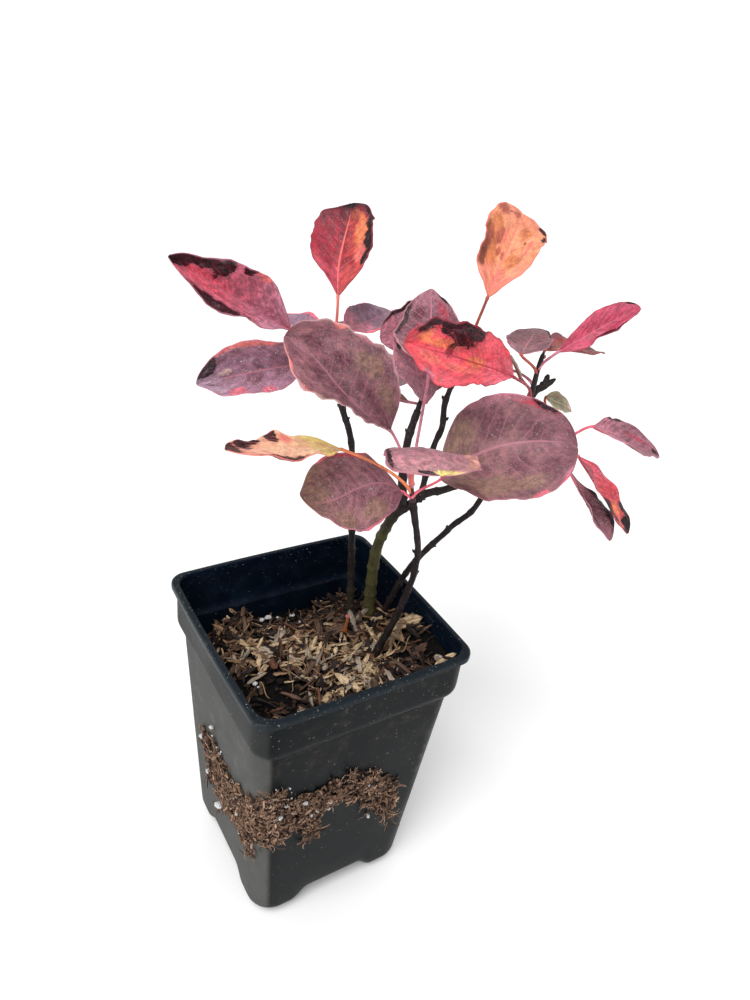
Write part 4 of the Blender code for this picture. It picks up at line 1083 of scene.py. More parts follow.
def grow_limb(build, limb, seed, buds=True, slim=1.0):
    """A limb with swollen nodes every few millimetres, and a small bud at each."""
    points = smooth_path(limb.start, limb.runs, LIMB_STEP)
    last = len(points) - 1
    rng = random.Random(seed)
    nodes, at = [], 4
    while at < last - 2:
        nodes.append(at)
        at += rng.randint(7, 12)
    radii = []
    for index, point in enumerate(points):
        radius = limb.foot_radius + (limb.tip_radius - limb.foot_radius) * index / last
        if limb.start[2] == GROUND:
            radius *= 1 + FLARE_GAIN * math.exp((GROUND - point.z) / FLARE_HEIGHT)
        radius *= slim + (1 - slim) * max(index / last - 0.85, 0.0) / 0.15
        radius *= 1 + 0.09 * noise.noise(Vector((index * 0.25, seed, 0)))
        radius *= 1 + 0.17 * sum(math.exp(-((index - node) / 1.3) ** 2) for node in nodes)
        radii.append(radius)
    sunk = 8 if limb.start[2] == GROUND else 0
    below = [points[0] + (points[0] - points[1]) * step for step in range(sunk, 0, -1)]
    build.grow(*tube_geometry(below + points, [radii[0]] * sunk + radii, LIMB_SIDES, 0.00014, seed))
    if not buds:
        return
    for count, node in enumerate(nodes[1:]):
        ahead = (points[node + 1] - points[node]).normalized()
        turn = Matrix.Rotation(math.radians(137.5 * count + 40 * seed), 3, ahead)
        out = turn @ ahead.orthogonal().normalized()
        foot = points[node] + 0.8 * radii[node] * out
        add_bud(build, foot, (ahead + 0.9 * out).normalized(), rng.uniform(0.0010, 0.0017))


# The share of the CAD's girth that shows in the photo, for the stems that are slimmer there
SLIM = {"stem_front": 0.76, "stem_right": 0.80, "stem_left": 0.90}


def make_limbs():
    foot_colours = {"stem_main": (0.090, 0.085, 0.030), "stem_left": (0.034, 0.030, 0.016)}
    high = (0.0125, 0.0090, 0.0095)
    purple = (0.0150, 0.0095, 0.0105)
    for index, (name, limb) in enumerate({**STEMS, **BOUGHS}.items()):
        build = Build()
        grow_limb(build, limb, 10 * index, slim=SLIM.get(name, 1.0))
        if name == "stem_right":
            grow_limb(build, STUB, 91, buds=False)
            crown = smooth_path(STUB.start, STUB.runs, LIMB_STEP)[-1]
            for heading, lift, length in ((30, 57, 0.0051), (-12, 32, 0.0056), (124, 31, 0.0026)):
                points = [crown + unit(heading, lift) * (length * step / 5 - 0.0006)
                          for step in range(6)]
                build.grow(*tube_geometry(points, [0.0014, 0.0013, 0.0012, 0.0011, 0.0009, 0.0004],
                                          10, 0.0002, heading))
        if name == "stem_left":
            points = smooth_path(limb.start, limb.runs, LIMB_STEP)
            foot = points[int(0.66 * len(points))]
            thorn = [foot + unit(215, 25) * 0.0034 * step / 4 for step in range(5)]
            build.grow(*tube_geometry(thorn, [0.0009, 0.0007, 0.0005, 0.0003, 0.0001], 8))
        low = foot_colours.get(name, high)
        light = (0.034, 0.024, 0.025) if name == "stem_front" else (0.036, 0.029, 0.027)
        upper = purple if name == "stem_front" or name in BOUGHS else high
        change = 0.158 if name == "stem_main" else 0.125
        shader = bark_shader("bark_" + name, low, upper, light, change)
        build.make("bark_" + name, [shader], "bark", name)


# Pot


def ring(half_side, corner, bow, height, arch):
    """A level rounded square whose sides bow out by bow, and whose feet stand on an arch."""
    points = []
    straight = half_side - corner
    for side in range(4):
        turn = Matrix.Rotation(side * math.pi / 2, 3, "Z")
        for step in range(SIDE_STEPS + 1):
            along = straight * (2 * step / SIDE_STEPS - 1)
            out = half_side + bow * (1 - (along / straight) ** 2)
            points.append(turn @ Vector((out, along, height + arch * arch_share(along))))
        for step in range(1, CORNER_STEPS):
            angle = step / CORNER_STEPS * math.pi / 2
            points.append(turn @ Vector((straight + corner * math.cos(angle),
                                         straight + corner * math.sin(angle), height)))
    return points


def arch_share(along):
    """How much of the arch's rise stands at this place along a side: all of it in the middle."""
    fall = (abs(along) - ARCH_FLAT) / (ARCH_END - ARCH_FLAT)
    fall = min(max(fall, 0.0), 1.0)
    return 0.5 + 0.5 * math.cos(math.pi * fall)


def side_at(height, inset):
    """Half side and corner radius of the tapering wall at this height, inset from its outside."""
    share = (height - FOOT_ROUND) / (COLLAR_FOOT - FOOT_ROUND)
    half_side = FOOT_HALF + (NECK_HALF - FOOT_HALF) * share
    corner = FOOT_CORNER + (COLLAR_CORNER - FOOT_CORNER) * share
    return half_side - inset, corner - inset


def foot_rings(inset):
    """Rings of the rounded foot, from its flat plate up to the straight wall above the arches."""
    rings = [ring(PLATE_HALF - inset, FOOT_CORNER - inset, 0, inset, 0)]
    half_side, corner = side_at(FOOT_ROUND, inset)
    radius = FOOT_ROUND - inset
    for step in range(FOOT_STEPS + 1):
        angle = step / FOOT_STEPS * math.pi / 2
        pull = radius * (1 - math.sin(angle))
        height = inset + radius * (1 - math.cos(angle))
        rings.append(ring(half_side - pull, corner - FOOT_CORNER_SHARE * pull, 0, height, ARCH_RISE))
    rings.append(ring(*side_at(ARCH_TOP, inset), 0, ARCH_TOP, 0))
    return rings


def wall_rings(inset):
    """Rings of the straight wall, from above the arches to just under the collar."""
    rings = []
    top = COLLAR_FOOT - COLLAR_ROUND / 2
    for step in range(1, WALL_STEPS + 1):
        height = ARCH_TOP + (top - ARCH_TOP) * step / WALL_STEPS
        points = ring(*side_at(height, inset), 0, height, 0)
        if not inset:
            for point in points:
                dent = noise.noise(Vector((point.x * 38, point.y * 38, height * 30)))
                point *= 1 + 0.005 * dent * math.sin(math.pi * step / WALL_STEPS)
                point.z = height
        rings.append(points)
    return rings


def collar_rings(inset):
    """Rings of the collar's rounded lower edge and its upright band."""
    rings = []
    for step in range(COLLAR_STEPS + 1):
        angle = step / COLLAR_STEPS * math.pi / 2
        reach = NECK_HALF + (COLLAR_HALF - NECK_HALF) * math.sin(angle)
        height = COLLAR_FOOT + COLLAR_ROUND * (1 - math.cos(angle))
        rings.append(ring(reach - inset, COLLAR_CORNER - inset, 0, height, 0))
    foot = COLLAR_FOOT + COLLAR_ROUND
    top = POT_HEIGHT - LIP_HEIGHT
    for step in range(1, EDGE_STEPS + 1):
        share = step / EDGE_STEPS
        rings.append(ring(COLLAR_HALF - inset, COLLAR_CORNER - inset, RIM_BOW * share,
                          foot + (top - foot) * share, 0))
    return rings


def lip_rings():
    """Rings over the rolled lip, from its underside round its top to the inner wall."""
    inner = COLLAR_HALF - WALL
    inner_corner = COLLAR_CORNER - WALL
    foot = POT_HEIGHT - LIP_HEIGHT + GAP
    rings = [ring(RIM_HALF - LIP_ROUND / 2, RIM_CORNER, RIM_BOW, foot, 0),
             ring(RIM_HALF, RIM_CORNER, RIM_BOW, foot + LIP_ROUND / 2, 0)]
    for step in range(EDGE_STEPS + 1):
        angle = step / EDGE_STEPS * math.pi / 2
        pull = LIP_ROUND * (1 - math.cos(angle))
        rings.append(ring(RIM_HALF - pull, RIM_CORNER - pull / 2, RIM_BOW,
                          POT_HEIGHT - LIP_ROUND * (1 - math.sin(angle)), 0))
    for step in range(EDGE_STEPS + 1):
        angle = step / EDGE_STEPS * math.pi / 2
        pull = LIP_ROUND / 2 * (1 - math.sin(angle))
        rings.append(ring(inner + pull, inner_corner, RIM_BOW,
                          POT_HEIGHT - LIP_ROUND / 2 * (1 - math.cos(angle)), 0))
    return rings


def make_pot():
    """The pot's shell again with a finer skin and a slightly uneven wall."""
    inside = foot_rings(WALL) + wall_rings(WALL) + collar_rings(WALL)
    rings = foot_rings(0) + wall_rings(0) + collar_rings(0) + lip_rings() + inside[::-1]
    body = bmesh.new()
    loops = [[body.verts.new(point) for point in points] for points in rings]
    count = len(loops[0])
    for lower, upper in zip(loops, loops[1:]):
        for step in range(count):
            after = (step + 1) % count
            body.faces.new((lower[step], lower[after], upper[after], upper[step]))
    body.faces.new(reversed(loops[0]))
    body.faces.new(loops[-1])
    bmesh.ops.recalc_face_normals(body, faces=body.faces)
    mesh = bpy.data.meshes.new("pot_shell")
    body.to_mesh(mesh)
    body.free()
    shell = bpy.data.objects.new("pot_shell", mesh)
    bpy.context.scene.collection.objects.link(shell)
    drills = []
    for turn in range(4):
        angle = math.pi / 4 + turn * math.pi / 2
        reach = DRAIN_OFFSET * math.sqrt(2)
        bpy.ops.mesh.primitive_cylinder_add(
            vertices=32, radius=DRAIN_RADIUS, depth=2 * FOOT_ROUND,
            location=(reach * math.cos(angle), reach * math.sin(angle), 0))
        drills.append(bpy.context.object)
        cut = shell.modifiers.new("drain", "BOOLEAN")
        cut.operation = "DIFFERENCE"
        cut.object = drills[-1]
    bpy.context.view_layer.update()
    cut_shell = shell.evaluated_get(bpy.context.evaluated_depsgraph_get())
    mesh = bpy.data.meshes.new_from_object(cut_shell)
    shell.modifiers.clear()
    shell.data = mesh
    for drill in drills:
        bpy.data.objects.remove(drill, do_unlink=True)
    mesh.shade_smooth()
    mesh.set_sharp_from_angle(angle=math.radians(38))
    mesh.materials.clear()
    mesh.materials.append(pot_shader())
    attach(shell, "root")
    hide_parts("pot")


# Mulch

# Tones of the chips, each light and dark, the dark one painted into the grooves between the ribs as shade
TONES = {
    "straw": ((0.820, 0.630, 0.400), (0.300, 0.195, 0.105)),
    "tan": ((0.480, 0.300, 0.175), (0.120, 0.066, 0.036)),
    "brown": ((0.165, 0.095, 0.062), (0.046, 0.026, 0.018)),
    "dark": ((0.042, 0.028, 0.024), (0.008, 0.006, 0.006)),
    "grey": ((0.500, 0.415, 0.320), (0.160, 0.120, 0.090)),
    "russet": ((0.200, 0.086, 0.048), (0.075, 0.030, 0.019)),
}

# Larger chips that show in the photo, in mm and degrees: place, with its height over the mix,
# heading, lift, roll, length, width, tone
Chip = namedtuple("Chip", "place heading lift roll length width tone")
BIG_CHIPS = (
    Chip((-4.5, 8.5, 2), 25, 6, 25, 12, 3.4, "tan"),
    Chip((-0.5, 5, 2.6), 250, 4, -20, 9, 1.3, "straw"),
    Chip((36, -8.5, 4), 320, -4, 25, 18, 4.4, "straw"),
    Chip((36, -3, 3), 300, 8, -25, 13.5, 3.7, "tan"),
    Chip((34, -9.5, 2.6), 255, 0, -25, 10, 2.1, "tan"),
    Chip((-26, 16, 1.8), 325, 0, -20, 12, 2.1, "brown"),
    Chip((-29, 6, 2.2), 50, 6, 20, 12.5, 1.2, "grey"),
    Chip((-22.5, 3, 2), 55, 5, -20, 8.5, 2.5, "straw"),
    Chip((-26.5, -5, 1.8), 15, 0, 20, 10.5, 1.3, "grey"),
    Chip((-12, -4.5, 2.2), 340, 0, -20, 10, 1.8, "straw"),
    Chip((4, -0.5, 2), 275, 4, -25, 9.5, 2.3, "tan"),
    Chip((7, -10, 2.4), 355, 0, -20, 10, 2.6, "straw"),
    Chip((-7, -13, 2.4), 40, 12, -40, 11.5, 3.4, "brown"),
    Chip((-0.5, -24, 2.4), 250, 10, -20, 11, 2.2, "straw"),
    Chip((16, -13.5, 2.8), 45, 12, -20, 11, 2.2, "straw"),
    Chip((17.5, -7, 2.4), 25, 6, 20, 10.5, 2.6, "grey"),
    Chip((15, -24, 2.4), 10, 0, 20, 13.5, 1.3, "grey"),
    Chip((-17, -6.5, 1.8), 345, 0, -25, 7, 2.5, "tan"),
    Chip((-18, -17.5, 1.8), 305, 0, -20, 10.5, 2, "brown"),
    Chip((26, 30, 2.6), 5, 0, -20, 10, 1.6, "straw"),
    Chip((11, 17.5, 2.4), 15, 4, -20, 10.5, 3.6, "brown"),
    Chip((-14.5, 20, 1.8), 250, 0, -25, 11, 2, "tan"),
    Chip((37, -34, 2), 290, 0, 20, 10, 3, "grey"),
    Chip((37, 16, 2.6), 250, 30, 20, 9, 3, "grey"),
    Chip((34.5, 19, 2.2), 245, 20, 30, 10, 1.6, "russet"),
    Chip((-18.5, 6.5, 2), 295, 0, 20, 8.5, 3.6, "grey"),
    Chip((27, -1.5, 2.6), 260, 14, -25, 7.5, 2.1, "tan"),
    Chip((26.5, 3.5, 3), 260, 20, -20, 10.5, 1.8, "straw"),
    Chip((31, -15, 2), 320, 0, -20, 7, 2.2, "brown"),
)

# Grains of perlite that show: place and radius
PERLITE = (
    (-0.0033, 0.0353, 0.0013), (-0.0069, 0.0337, 0.0009), (0.0069, 0.0325, 0.0013),
    (-0.0226, 0.0224, 0.0010), (0.0310, 0.0360, 0.0015), (0.0056, 0.0229, 0.0007),
    (0.0027, 0.0281, 0.0007), (0.0012, 0.0348, 0.0006),
)

# Places where the dark mix lies bare: centre and reach each way
BARE = ((-0.028, -0.015, 0.014, 0.014), (-0.038, 0.016, 0.006, 0.016),
        (0.039, -0.027, 0.005, 0.006), (0.006, 0.033, 0.018, 0.008))
# The line along which the pale chips lie
PALE_LINE = ((-0.032, 0.013), (-0.020, 0.006), (-0.006, 0.002), (0.008, -0.008), (0.004, -0.022),
             (0.018, -0.010), (0.028, -0.004), (0.036, -0.004))
PALE_REACH = 0.0085
MIX_HALF = 0.0412
MIX_SEAM = 0.090
INNER_CORNER = 0.0068
WALL_CLEAR = 0.0003


def ease(share):
    share = min(max(share, 0.0), 1.0)
    return share * share * (3 - 2 * share)


def swell(x, y, centre_x, centre_y, reach):
    return math.exp(-((x - centre_x) ** 2 + (y - centre_y) ** 2) / reach ** 2)


def mix_height(x, y):
    """The mix's surface: it falls away to the back wall and is banked up against the right one."""
    height = SOIL_TOP - 0.0005 - 0.0110 * ease((y - 0.008) / 0.032)
    height += 0.0120 * ease((x - 0.028) / 0.013) * ease((0.016 - y) / 0.034)
    height += 0.0045 * swell(x, y, -0.018, 0.036, 0.012)
    height -= 0.0060 * ease((-x - 0.024) / 0.014) * ease((y + 0.005) / 0.025)
    height -= 0.0035 * swell(x, y, 0.022, -0.0095, 0.008)
    height -= 0.0020 * ease((-x - 0.010) / 0.015) * ease((-y - 0.005) / 0.015)
    return height


def mound(x, y):
    """The height of the mix's surface with its lumps."""
    height = mix_height(x, y) + 0.0007 * noise.noise(Vector((x * 90, y * 90, 0)))
    return height + 0.0008 * noise.noise(Vector((x * 420, y * 420, 3)))


def slope(x, y):
    """The turn that lays a level thing on the mix's surface."""
    step = 0.0015
    across = mix_height(x + step, y) - mix_height(x - step, y)
    along = mix_height(x, y + step) - mix_height(x, y - step)
    normal = Vector((-across, -along, 2 * step))
    return Vector((0, 0, 1)).rotation_difference(normal).to_matrix()


def inner_half(height):
    """Half the width of the pot's inside at this height."""
    if height < COLLAR_FOOT:
        return side_at(height, WALL)[0]
    rise = min((height - COLLAR_FOOT) / COLLAR_ROUND, 1.0)
    return NECK_HALF - WALL + (COLLAR_HALF - NECK_HALF) * math.sqrt(1 - (1 - rise) ** 2)


def paleness(x, y):
    """1 on the line of pale chips, falling to 0 away from it."""
    spot, gap = Vector((x, y, 0)), 1.0
    for start, end in zip(PALE_LINE, PALE_LINE[1:]):
        start, end = Vector((*start, 0)), Vector((*end, 0))
        share = (spot - start).dot(end - start) / (end - start).length_squared
        gap = min(gap, (spot - start.lerp(end, min(max(share, 0.0), 1.0))).length)
    return math.exp(-(gap / PALE_REACH) ** 2)


def bareness(x, y):
    return max(1.4 - math.hypot((x - cx) / rx, (y - cy) / ry) for cx, cy, rx, ry in BARE)


def chip_skin(chip, rng, lay=None):
    """A boat-shaped sliver, pointed or blunt, hollow on one side and a little bent."""
    turn = ((lay or Matrix.Identity(3)) @ Matrix.Rotation(math.radians(chip.heading), 3, "Z")
            @ Matrix.Rotation(math.radians(-chip.lift), 3, "Y")
            @ Matrix.Rotation(math.radians(chip.roll), 3, "X"))
    half_length, half_wide = chip.length / 2, chip.width / 2
    power = rng.choice((3.0, 6.0, 10.0, 14.0))
    cup = rng.uniform(0.15, 0.45) * half_wide * rng.choice((1, -1))
    bend = rng.uniform(-0.10, 0.16) * half_length
    skew = rng.uniform(-0.25, 0.25)
    thick = rng.uniform(0.00016, 0.00034)
    seed = rng.uniform(0, 90)

    def place(row, column, side):
        a, b = 2 * row - 1, 2 * column - 1
        reach = half_wide * max(1 - abs(a) ** power, 0.05) * (1 + skew * a)
        ragged = 1 + 0.70 * noise.noise(Vector((a * 2.6, seed, b > 0)))
        local = Vector((a * half_length, b * reach * ragged,
                        cup * b * b - bend * a * a + side * thick * (1 - 0.5 * b * b)))
        local.z += 0.10 * half_wide * noise.noise(Vector((a * 2.5, b * 1.5, seed)))
        return Vector(chip.place) + turn @ local

    vertices, faces, corners, _ = closed_sheet(8, 6, place)
    chip_map = [(row + seed, column + seed) for row, column in corners]
    return vertices, faces, chip_map


def keep_inside(vertices):
    """The vertices again, moved as one until none stands in the pot's wall."""
    for _ in range(3):
        worst, move = 0.0, None
        for vertex in vertices:
            flat_part = inner_half(vertex.z) - INNER_CORNER
            out = Vector((abs(vertex.x) - flat_part, abs(vertex.y) - flat_part, 0))
            if out.x > 0 and out.y > 0:
                over, way = out.length - INNER_CORNER, out.normalized()
            elif out.x > out.y:
                over, way = out.x - INNER_CORNER, Vector((1, 0, 0))
            else:
                over, way = out.y - INNER_CORNER, Vector((0, 1, 0))
            if over + WALL_CLEAR > worst:
                worst = over + WALL_CLEAR
                move = Vector((math.copysign(way.x, -vertex.x), math.copysign(way.y, -vertex.y), 0))
        if move is None:
            break
        vertices = [vertex + worst * move for vertex in vertices]
    return vertices


def lump_skin(place, radius, rng, flat=1.0, steps=1):
    """A rough lump: a faceted ball pushed in and out by noise."""
    ball = bmesh.new()
    bmesh.ops.create_icosphere(ball, subdivisions=steps, radius=1.0)
    seed = rng.uniform(0, 90)
    stretch = Vector((rng.uniform(0.7, 1.3), rng.uniform(0.7, 1.2), rng.uniform(0.6, 1.0) * flat))
    turn = Matrix.Rotation(rng.uniform(0, math.tau), 3, "Z")
    vertices = []
    for vertex in ball.verts:
        out = 1 + 0.45 * noise.noise(vertex.co * 1.6 + Vector((seed, 0, 0)))
        local = Vector(part * size * out * radius for part, size in zip(vertex.co, stretch))
        vertices.append(Vector(place) + turn @ local)
    faces = [tuple(vertex.index for vertex in face.verts) for face in ball.faces]
    ball.free()
    return vertices, faces


def make_mix():
    """The dark mix: a body that fills the pot, and a slab with a lumpy, sloping top."""
    rings = foot_rings(WALL + GAP) + [points for points in wall_rings(WALL + GAP)
                                      if points[0].z < MIX_SEAM]
    count = len(rings[0])
    faces = [tuple(reversed(range(count))),
             tuple(range((len(rings) - 1) * count, len(rings) * count))]
    for lower in range(len(rings) - 1):
        for step in range(count):
            after = (step + 1) % count
            faces.append((lower * count + step, lower * count + after,
                          (lower + 1) * count + after, (lower + 1) * count + step))
    body = Build()
    body.grow([point for points in rings for point in points], faces)
    shader = mix_shader()
    body.make("mix_body", [shader], "soil", "soil")

    def place(row, column, side):
        x, y = MIX_HALF * (2 * row - 1), MIX_HALF * (2 * column - 1)
        corner = 0.0070
        cx, cy = abs(x) - (MIX_HALF - corner), abs(y) - (MIX_HALF - corner)
        if cx > 0 and cy > 0 and math.hypot(cx, cy) > corner:
            pull = corner / math.hypot(cx, cy)
            x = math.copysign(MIX_HALF - corner + cx * pull, x)
            y = math.copysign(MIX_HALF - corner + cy * pull, y)
        height = MIX_SEAM - 0.001 if side == -1 else mound(x, y)
        share = (inner_half(height) - GAP) / MIX_HALF
        return Vector((x * share, y * share, height))

    steps = 82
    vertices, faces, _, _ = closed_sheet(steps, steps, place)
    top = Build()
    top.grow(vertices, faces)
    top.make("mix_top", [shader], "soil", "soil")


def make_mulch():
    """Hulls and chips of six tones strewn over the mix, with crumbs, splinters and perlite."""
    rng = random.Random(5)
    builds = {tone: Build() for tone in TONES}
    for chip in BIG_CHIPS:
        x, y, over = (part / 1000 for part in chip.place)
        chip = chip._replace(place=(x, y, mix_height(x, y) + over),
                             length=chip.length / 1000, width=chip.width / 1000)
        vertices, faces, chip_map = chip_skin(chip, rng, slope(x, y))
        builds[chip.tone].grow(keep_inside(vertices), faces, Chip=chip_map)
    pale_weights, dark_weights = (34, 25, 12, 8, 18, 3), (4, 10, 32, 42, 5, 7)
    made = 0
    while made < 1450:
        x, y = rng.uniform(-MIX_HALF, MIX_HALF), rng.uniform(-MIX_HALF, MIX_HALF)
        bare = bareness(x, y) + 0.35 * noise.noise(Vector((x * 160, y * 160, 8)))
        if bare > 0.3 and rng.random() < 0.94:
            made += 0.25
            continue
        made += 1
        weights = pale_weights if rng.random() < paleness(x, y) else dark_weights
        tone = rng.choices(list(TONES), weights)[0]
        heading = rng.uniform(0, 360)
        length = rng.triangular(0.0028, 0.0125, 0.0060)
        width = length * rng.triangular(0.09, 0.36, 0.19)
        lift = rng.gauss(0, 24)
        roll = rng.gauss(0, 40)
        rise = abs(math.sin(math.radians(lift))) * length * 0.30 + rng.uniform(0.0002, 0.0022)
        chip = Chip((x, y, mound(x, y) + rise), heading, lift, roll, length, width, tone)
        vertices, faces, chip_map = chip_skin(chip, rng, slope(x, y))
        builds[tone].grow(keep_inside(vertices), faces, Chip=chip_map)
    for tone, build in builds.items():
        light, dark = TONES[tone]
        build.make("hulls_" + tone, [chip_shader("hull_" + tone, light, dark)], "soil")
    crumbs = Build()
    for _ in range(900):
        x, y = rng.uniform(-0.0375, 0.0375), rng.uniform(-0.0375, 0.0375)
        radius = rng.uniform(0.0004, 0.0013)
        crumbs.grow(*lump_skin((x, y, mound(x, y) + rng.uniform(0, 0.0010)), radius, rng),
                    rng.randint(0, 1))
    for _ in range(220):
        x, y = rng.uniform(-0.034, 0.034), rng.uniform(-0.034, 0.034)
        heading, span = rng.uniform(0, 360), rng.uniform(0.003, 0.009)
        start = Vector((x, y, mound(x, y) + rng.uniform(0.0005, 0.0045)))
        end = start + span * unit(heading, rng.gauss(4, 14))
        limit = inner_half(start.z) - 0.0008
        x, y = min(max(end.x, -limit), limit), min(max(end.y, -limit), limit)
        end = Vector((x, y, mound(x, y) + rng.uniform(0.0004, 0.0030)))
        bow = unit(heading + rng.uniform(-50, 50), rng.uniform(-10, 50))
        path = curve(start, bow, end, unit(heading + rng.uniform(-50, 50), -20), 7, 2.5)
        radius = rng.uniform(0.00009, 0.00026)
        crumbs.grow(*tube_geometry(path, [radius] * 7 + [radius / 2], 5), rng.randint(1, 2))
    crumbs.make("mix_crumbs", [
        grain_shader("crumb_dark", (0.018, 0.012, 0.010), (0.005, 0.004, 0.004)),
        grain_shader("crumb_brown", (0.060, 0.036, 0.022), (0.018, 0.011, 0.008)),
        grain_shader("fibre_pale", (0.400, 0.270, 0.150), (0.200, 0.120, 0.065))], "soil")
    grains = Build()
    for x, y, radius in PERLITE:
        grains.grow(*lump_skin((x, y, mound(x, y) + 0.0016), radius, rng, 0.8, 3))
    for _ in range(26):
        x, y = rng.uniform(-0.036, 0.036), rng.uniform(-0.036, 0.036)
        grains.grow(*lump_skin((x, y, mound(x, y) + 0.001), rng.uniform(0.0004, 0.0010), rng, 0.8, 2))
    grains.make("perlite", [perlite_shader()], "soil")


def perlite_shader():
    return grain_shader("perlite_white", (0.66, 0.67, 0.69), (0.34, 0.33, 0.32))


def make_shoot():
    """A thin dead twig, and a young shoot with a pink tip on an orange-brown stalk."""
    dead = Build()
    points = [Vector((-0.0183, -0.0027, 0.1055)) + Vector((0.0002 * step, 0.0001 * step, 0.0014 * step))
              for step in range(11)]
    dead.grow(*tube_geometry(points, [0.00055 - 0.00002 * step for step in range(11)], 10, 0.00008))
    dead.make("dead_twig", [bark_shader("bark_dead", (0.020, 0.013, 0.012), (0.020, 0.013, 0.012),
                                        (0.052, 0.041, 0.035))], "bark")
    shoot = Build()
    foot = Vector((0.0156, 0.0032, 0.1060))
    points = [foot + Vector((0.00006 * step ** 1.2, 0.00004 * step, 0.00108 * step)) for step in range(11)]
    radii = [0.0008, 0.0009, 0.0010, 0.0010, 0.0009, 0.0008, 0.0007, 0.00065, 0.0006, 0.00055, 0.0005]
    shoot.grow(*tube_geometry(points, radii, 12, 0.00010))
    for turn in (30, 150, 270):
        add_bud(shoot, points[-1] + 0.0003 * unit(turn, 0), (unit(turn, 76)), 0.0017, 1)
    add_bud(shoot, points[4] + 0.0006 * unit(200, 0), unit(200, 60), 0.0024, 0)
    shoot.make("young_shoot", [stalk_shader("shoot_stalk", (0.42, 0.135, 0.040)),
                               stalk_shader("shoot_tip", (0.55, 0.170, 0.160))], "leaf")


# The crust of peat on the pot's outside: along its girth from the near corner, in mm, and in height

CRUST_TOP = ((-57, 62), (-42, 74), (-34, 70), (-24, 69), (-16, 70), (-9, 76), (-1, 83), (7, 84),
             (16, 77), (22, 79), (31, 78), (40, 80), (48, 74), (57, 63))
CRUST_FOOT = ((-57, 59), (-49, 47), (-42, 42), (-35, 39), (-19, 45), (-9, 44), (-5, 50), (5, 53),
              (15, 62), (17, 47), (22.5, 47), (24, 63), (32, 64), (40, 60), (48, 51), (54, 44), (58, 45))
# Bits that hang down or stick up: girth, height of the root, height of the end
CRUST_TUFTS = ((-5, 46, 40), (3, 82, 91), (5, 84, 89), (20, 58, 49), (21, 57, 50), (-47, 43, 36),
               (57, 42, 33), (54, 46, 37), (-36, 36, 30), (36, 79, 84))
CRUST_PERLITE = ((-42, 79, 1.0), (-54, 60.5, 1.2), (-47.5, 44, 1.0), (-33, 48, 1.1), (-35, 36, 1.8),
                 (-18, 64, 1.1), (-16, 55, 0.9), (-39, 64.5, 0.8), (8, 78, 1.0), (16, 74.5, 1.0),
                 (6, 72, 0.9), (19, 65, 0.8), (27, 69, 1.1), (26, 65, 0.9), (46, 47, 0.9),
                 (5, 70.5, 0.7), (44, 69, 0.7), (21, 67, 0.7), (11, 72, 0.8))


def on_wall(girth, height, off):
    """A point off the pot's outside, at this girth from its near corner, and the way out there."""
    half_side, corner = side_at(height, 0)
    centre = Vector((-(half_side - corner), -(half_side - corner), height))
    bend = corner * math.pi / 4
    angle = math.radians(225) + min(max(girth, -bend), bend) / corner
    out = Vector((math.cos(angle), math.sin(angle), 0))
    aside = Vector((1, 0, 0)) if girth > 0 else Vector((0, 1, 0))
    extra = max(abs(girth) - bend, 0.0)
    return centre + (corner + off) * out + extra * aside, out


def crust_share(girth, height):
    """How deep inside the crust's outline a place lies, in mm, less than nothing outside it."""
    top, foot = straight_between(CRUST_TOP, girth), straight_between(CRUST_FOOT, girth)
    ragged = 5.0 * noise.noise(Vector((girth * 0.22, height * 0.22, 4)))
    ragged += 2.4 * noise.noise(Vector((girth * 0.8, height * 0.8, 9)))
    return min(top - height, height - foot) + ragged


def straight_between(line, x):
    for (start, low), (end, high) in zip(line, line[1:]):
        if x <= end:
            return low + (high - low) * (max(x, start) - start) / (end - start)
    return line[-1][1]


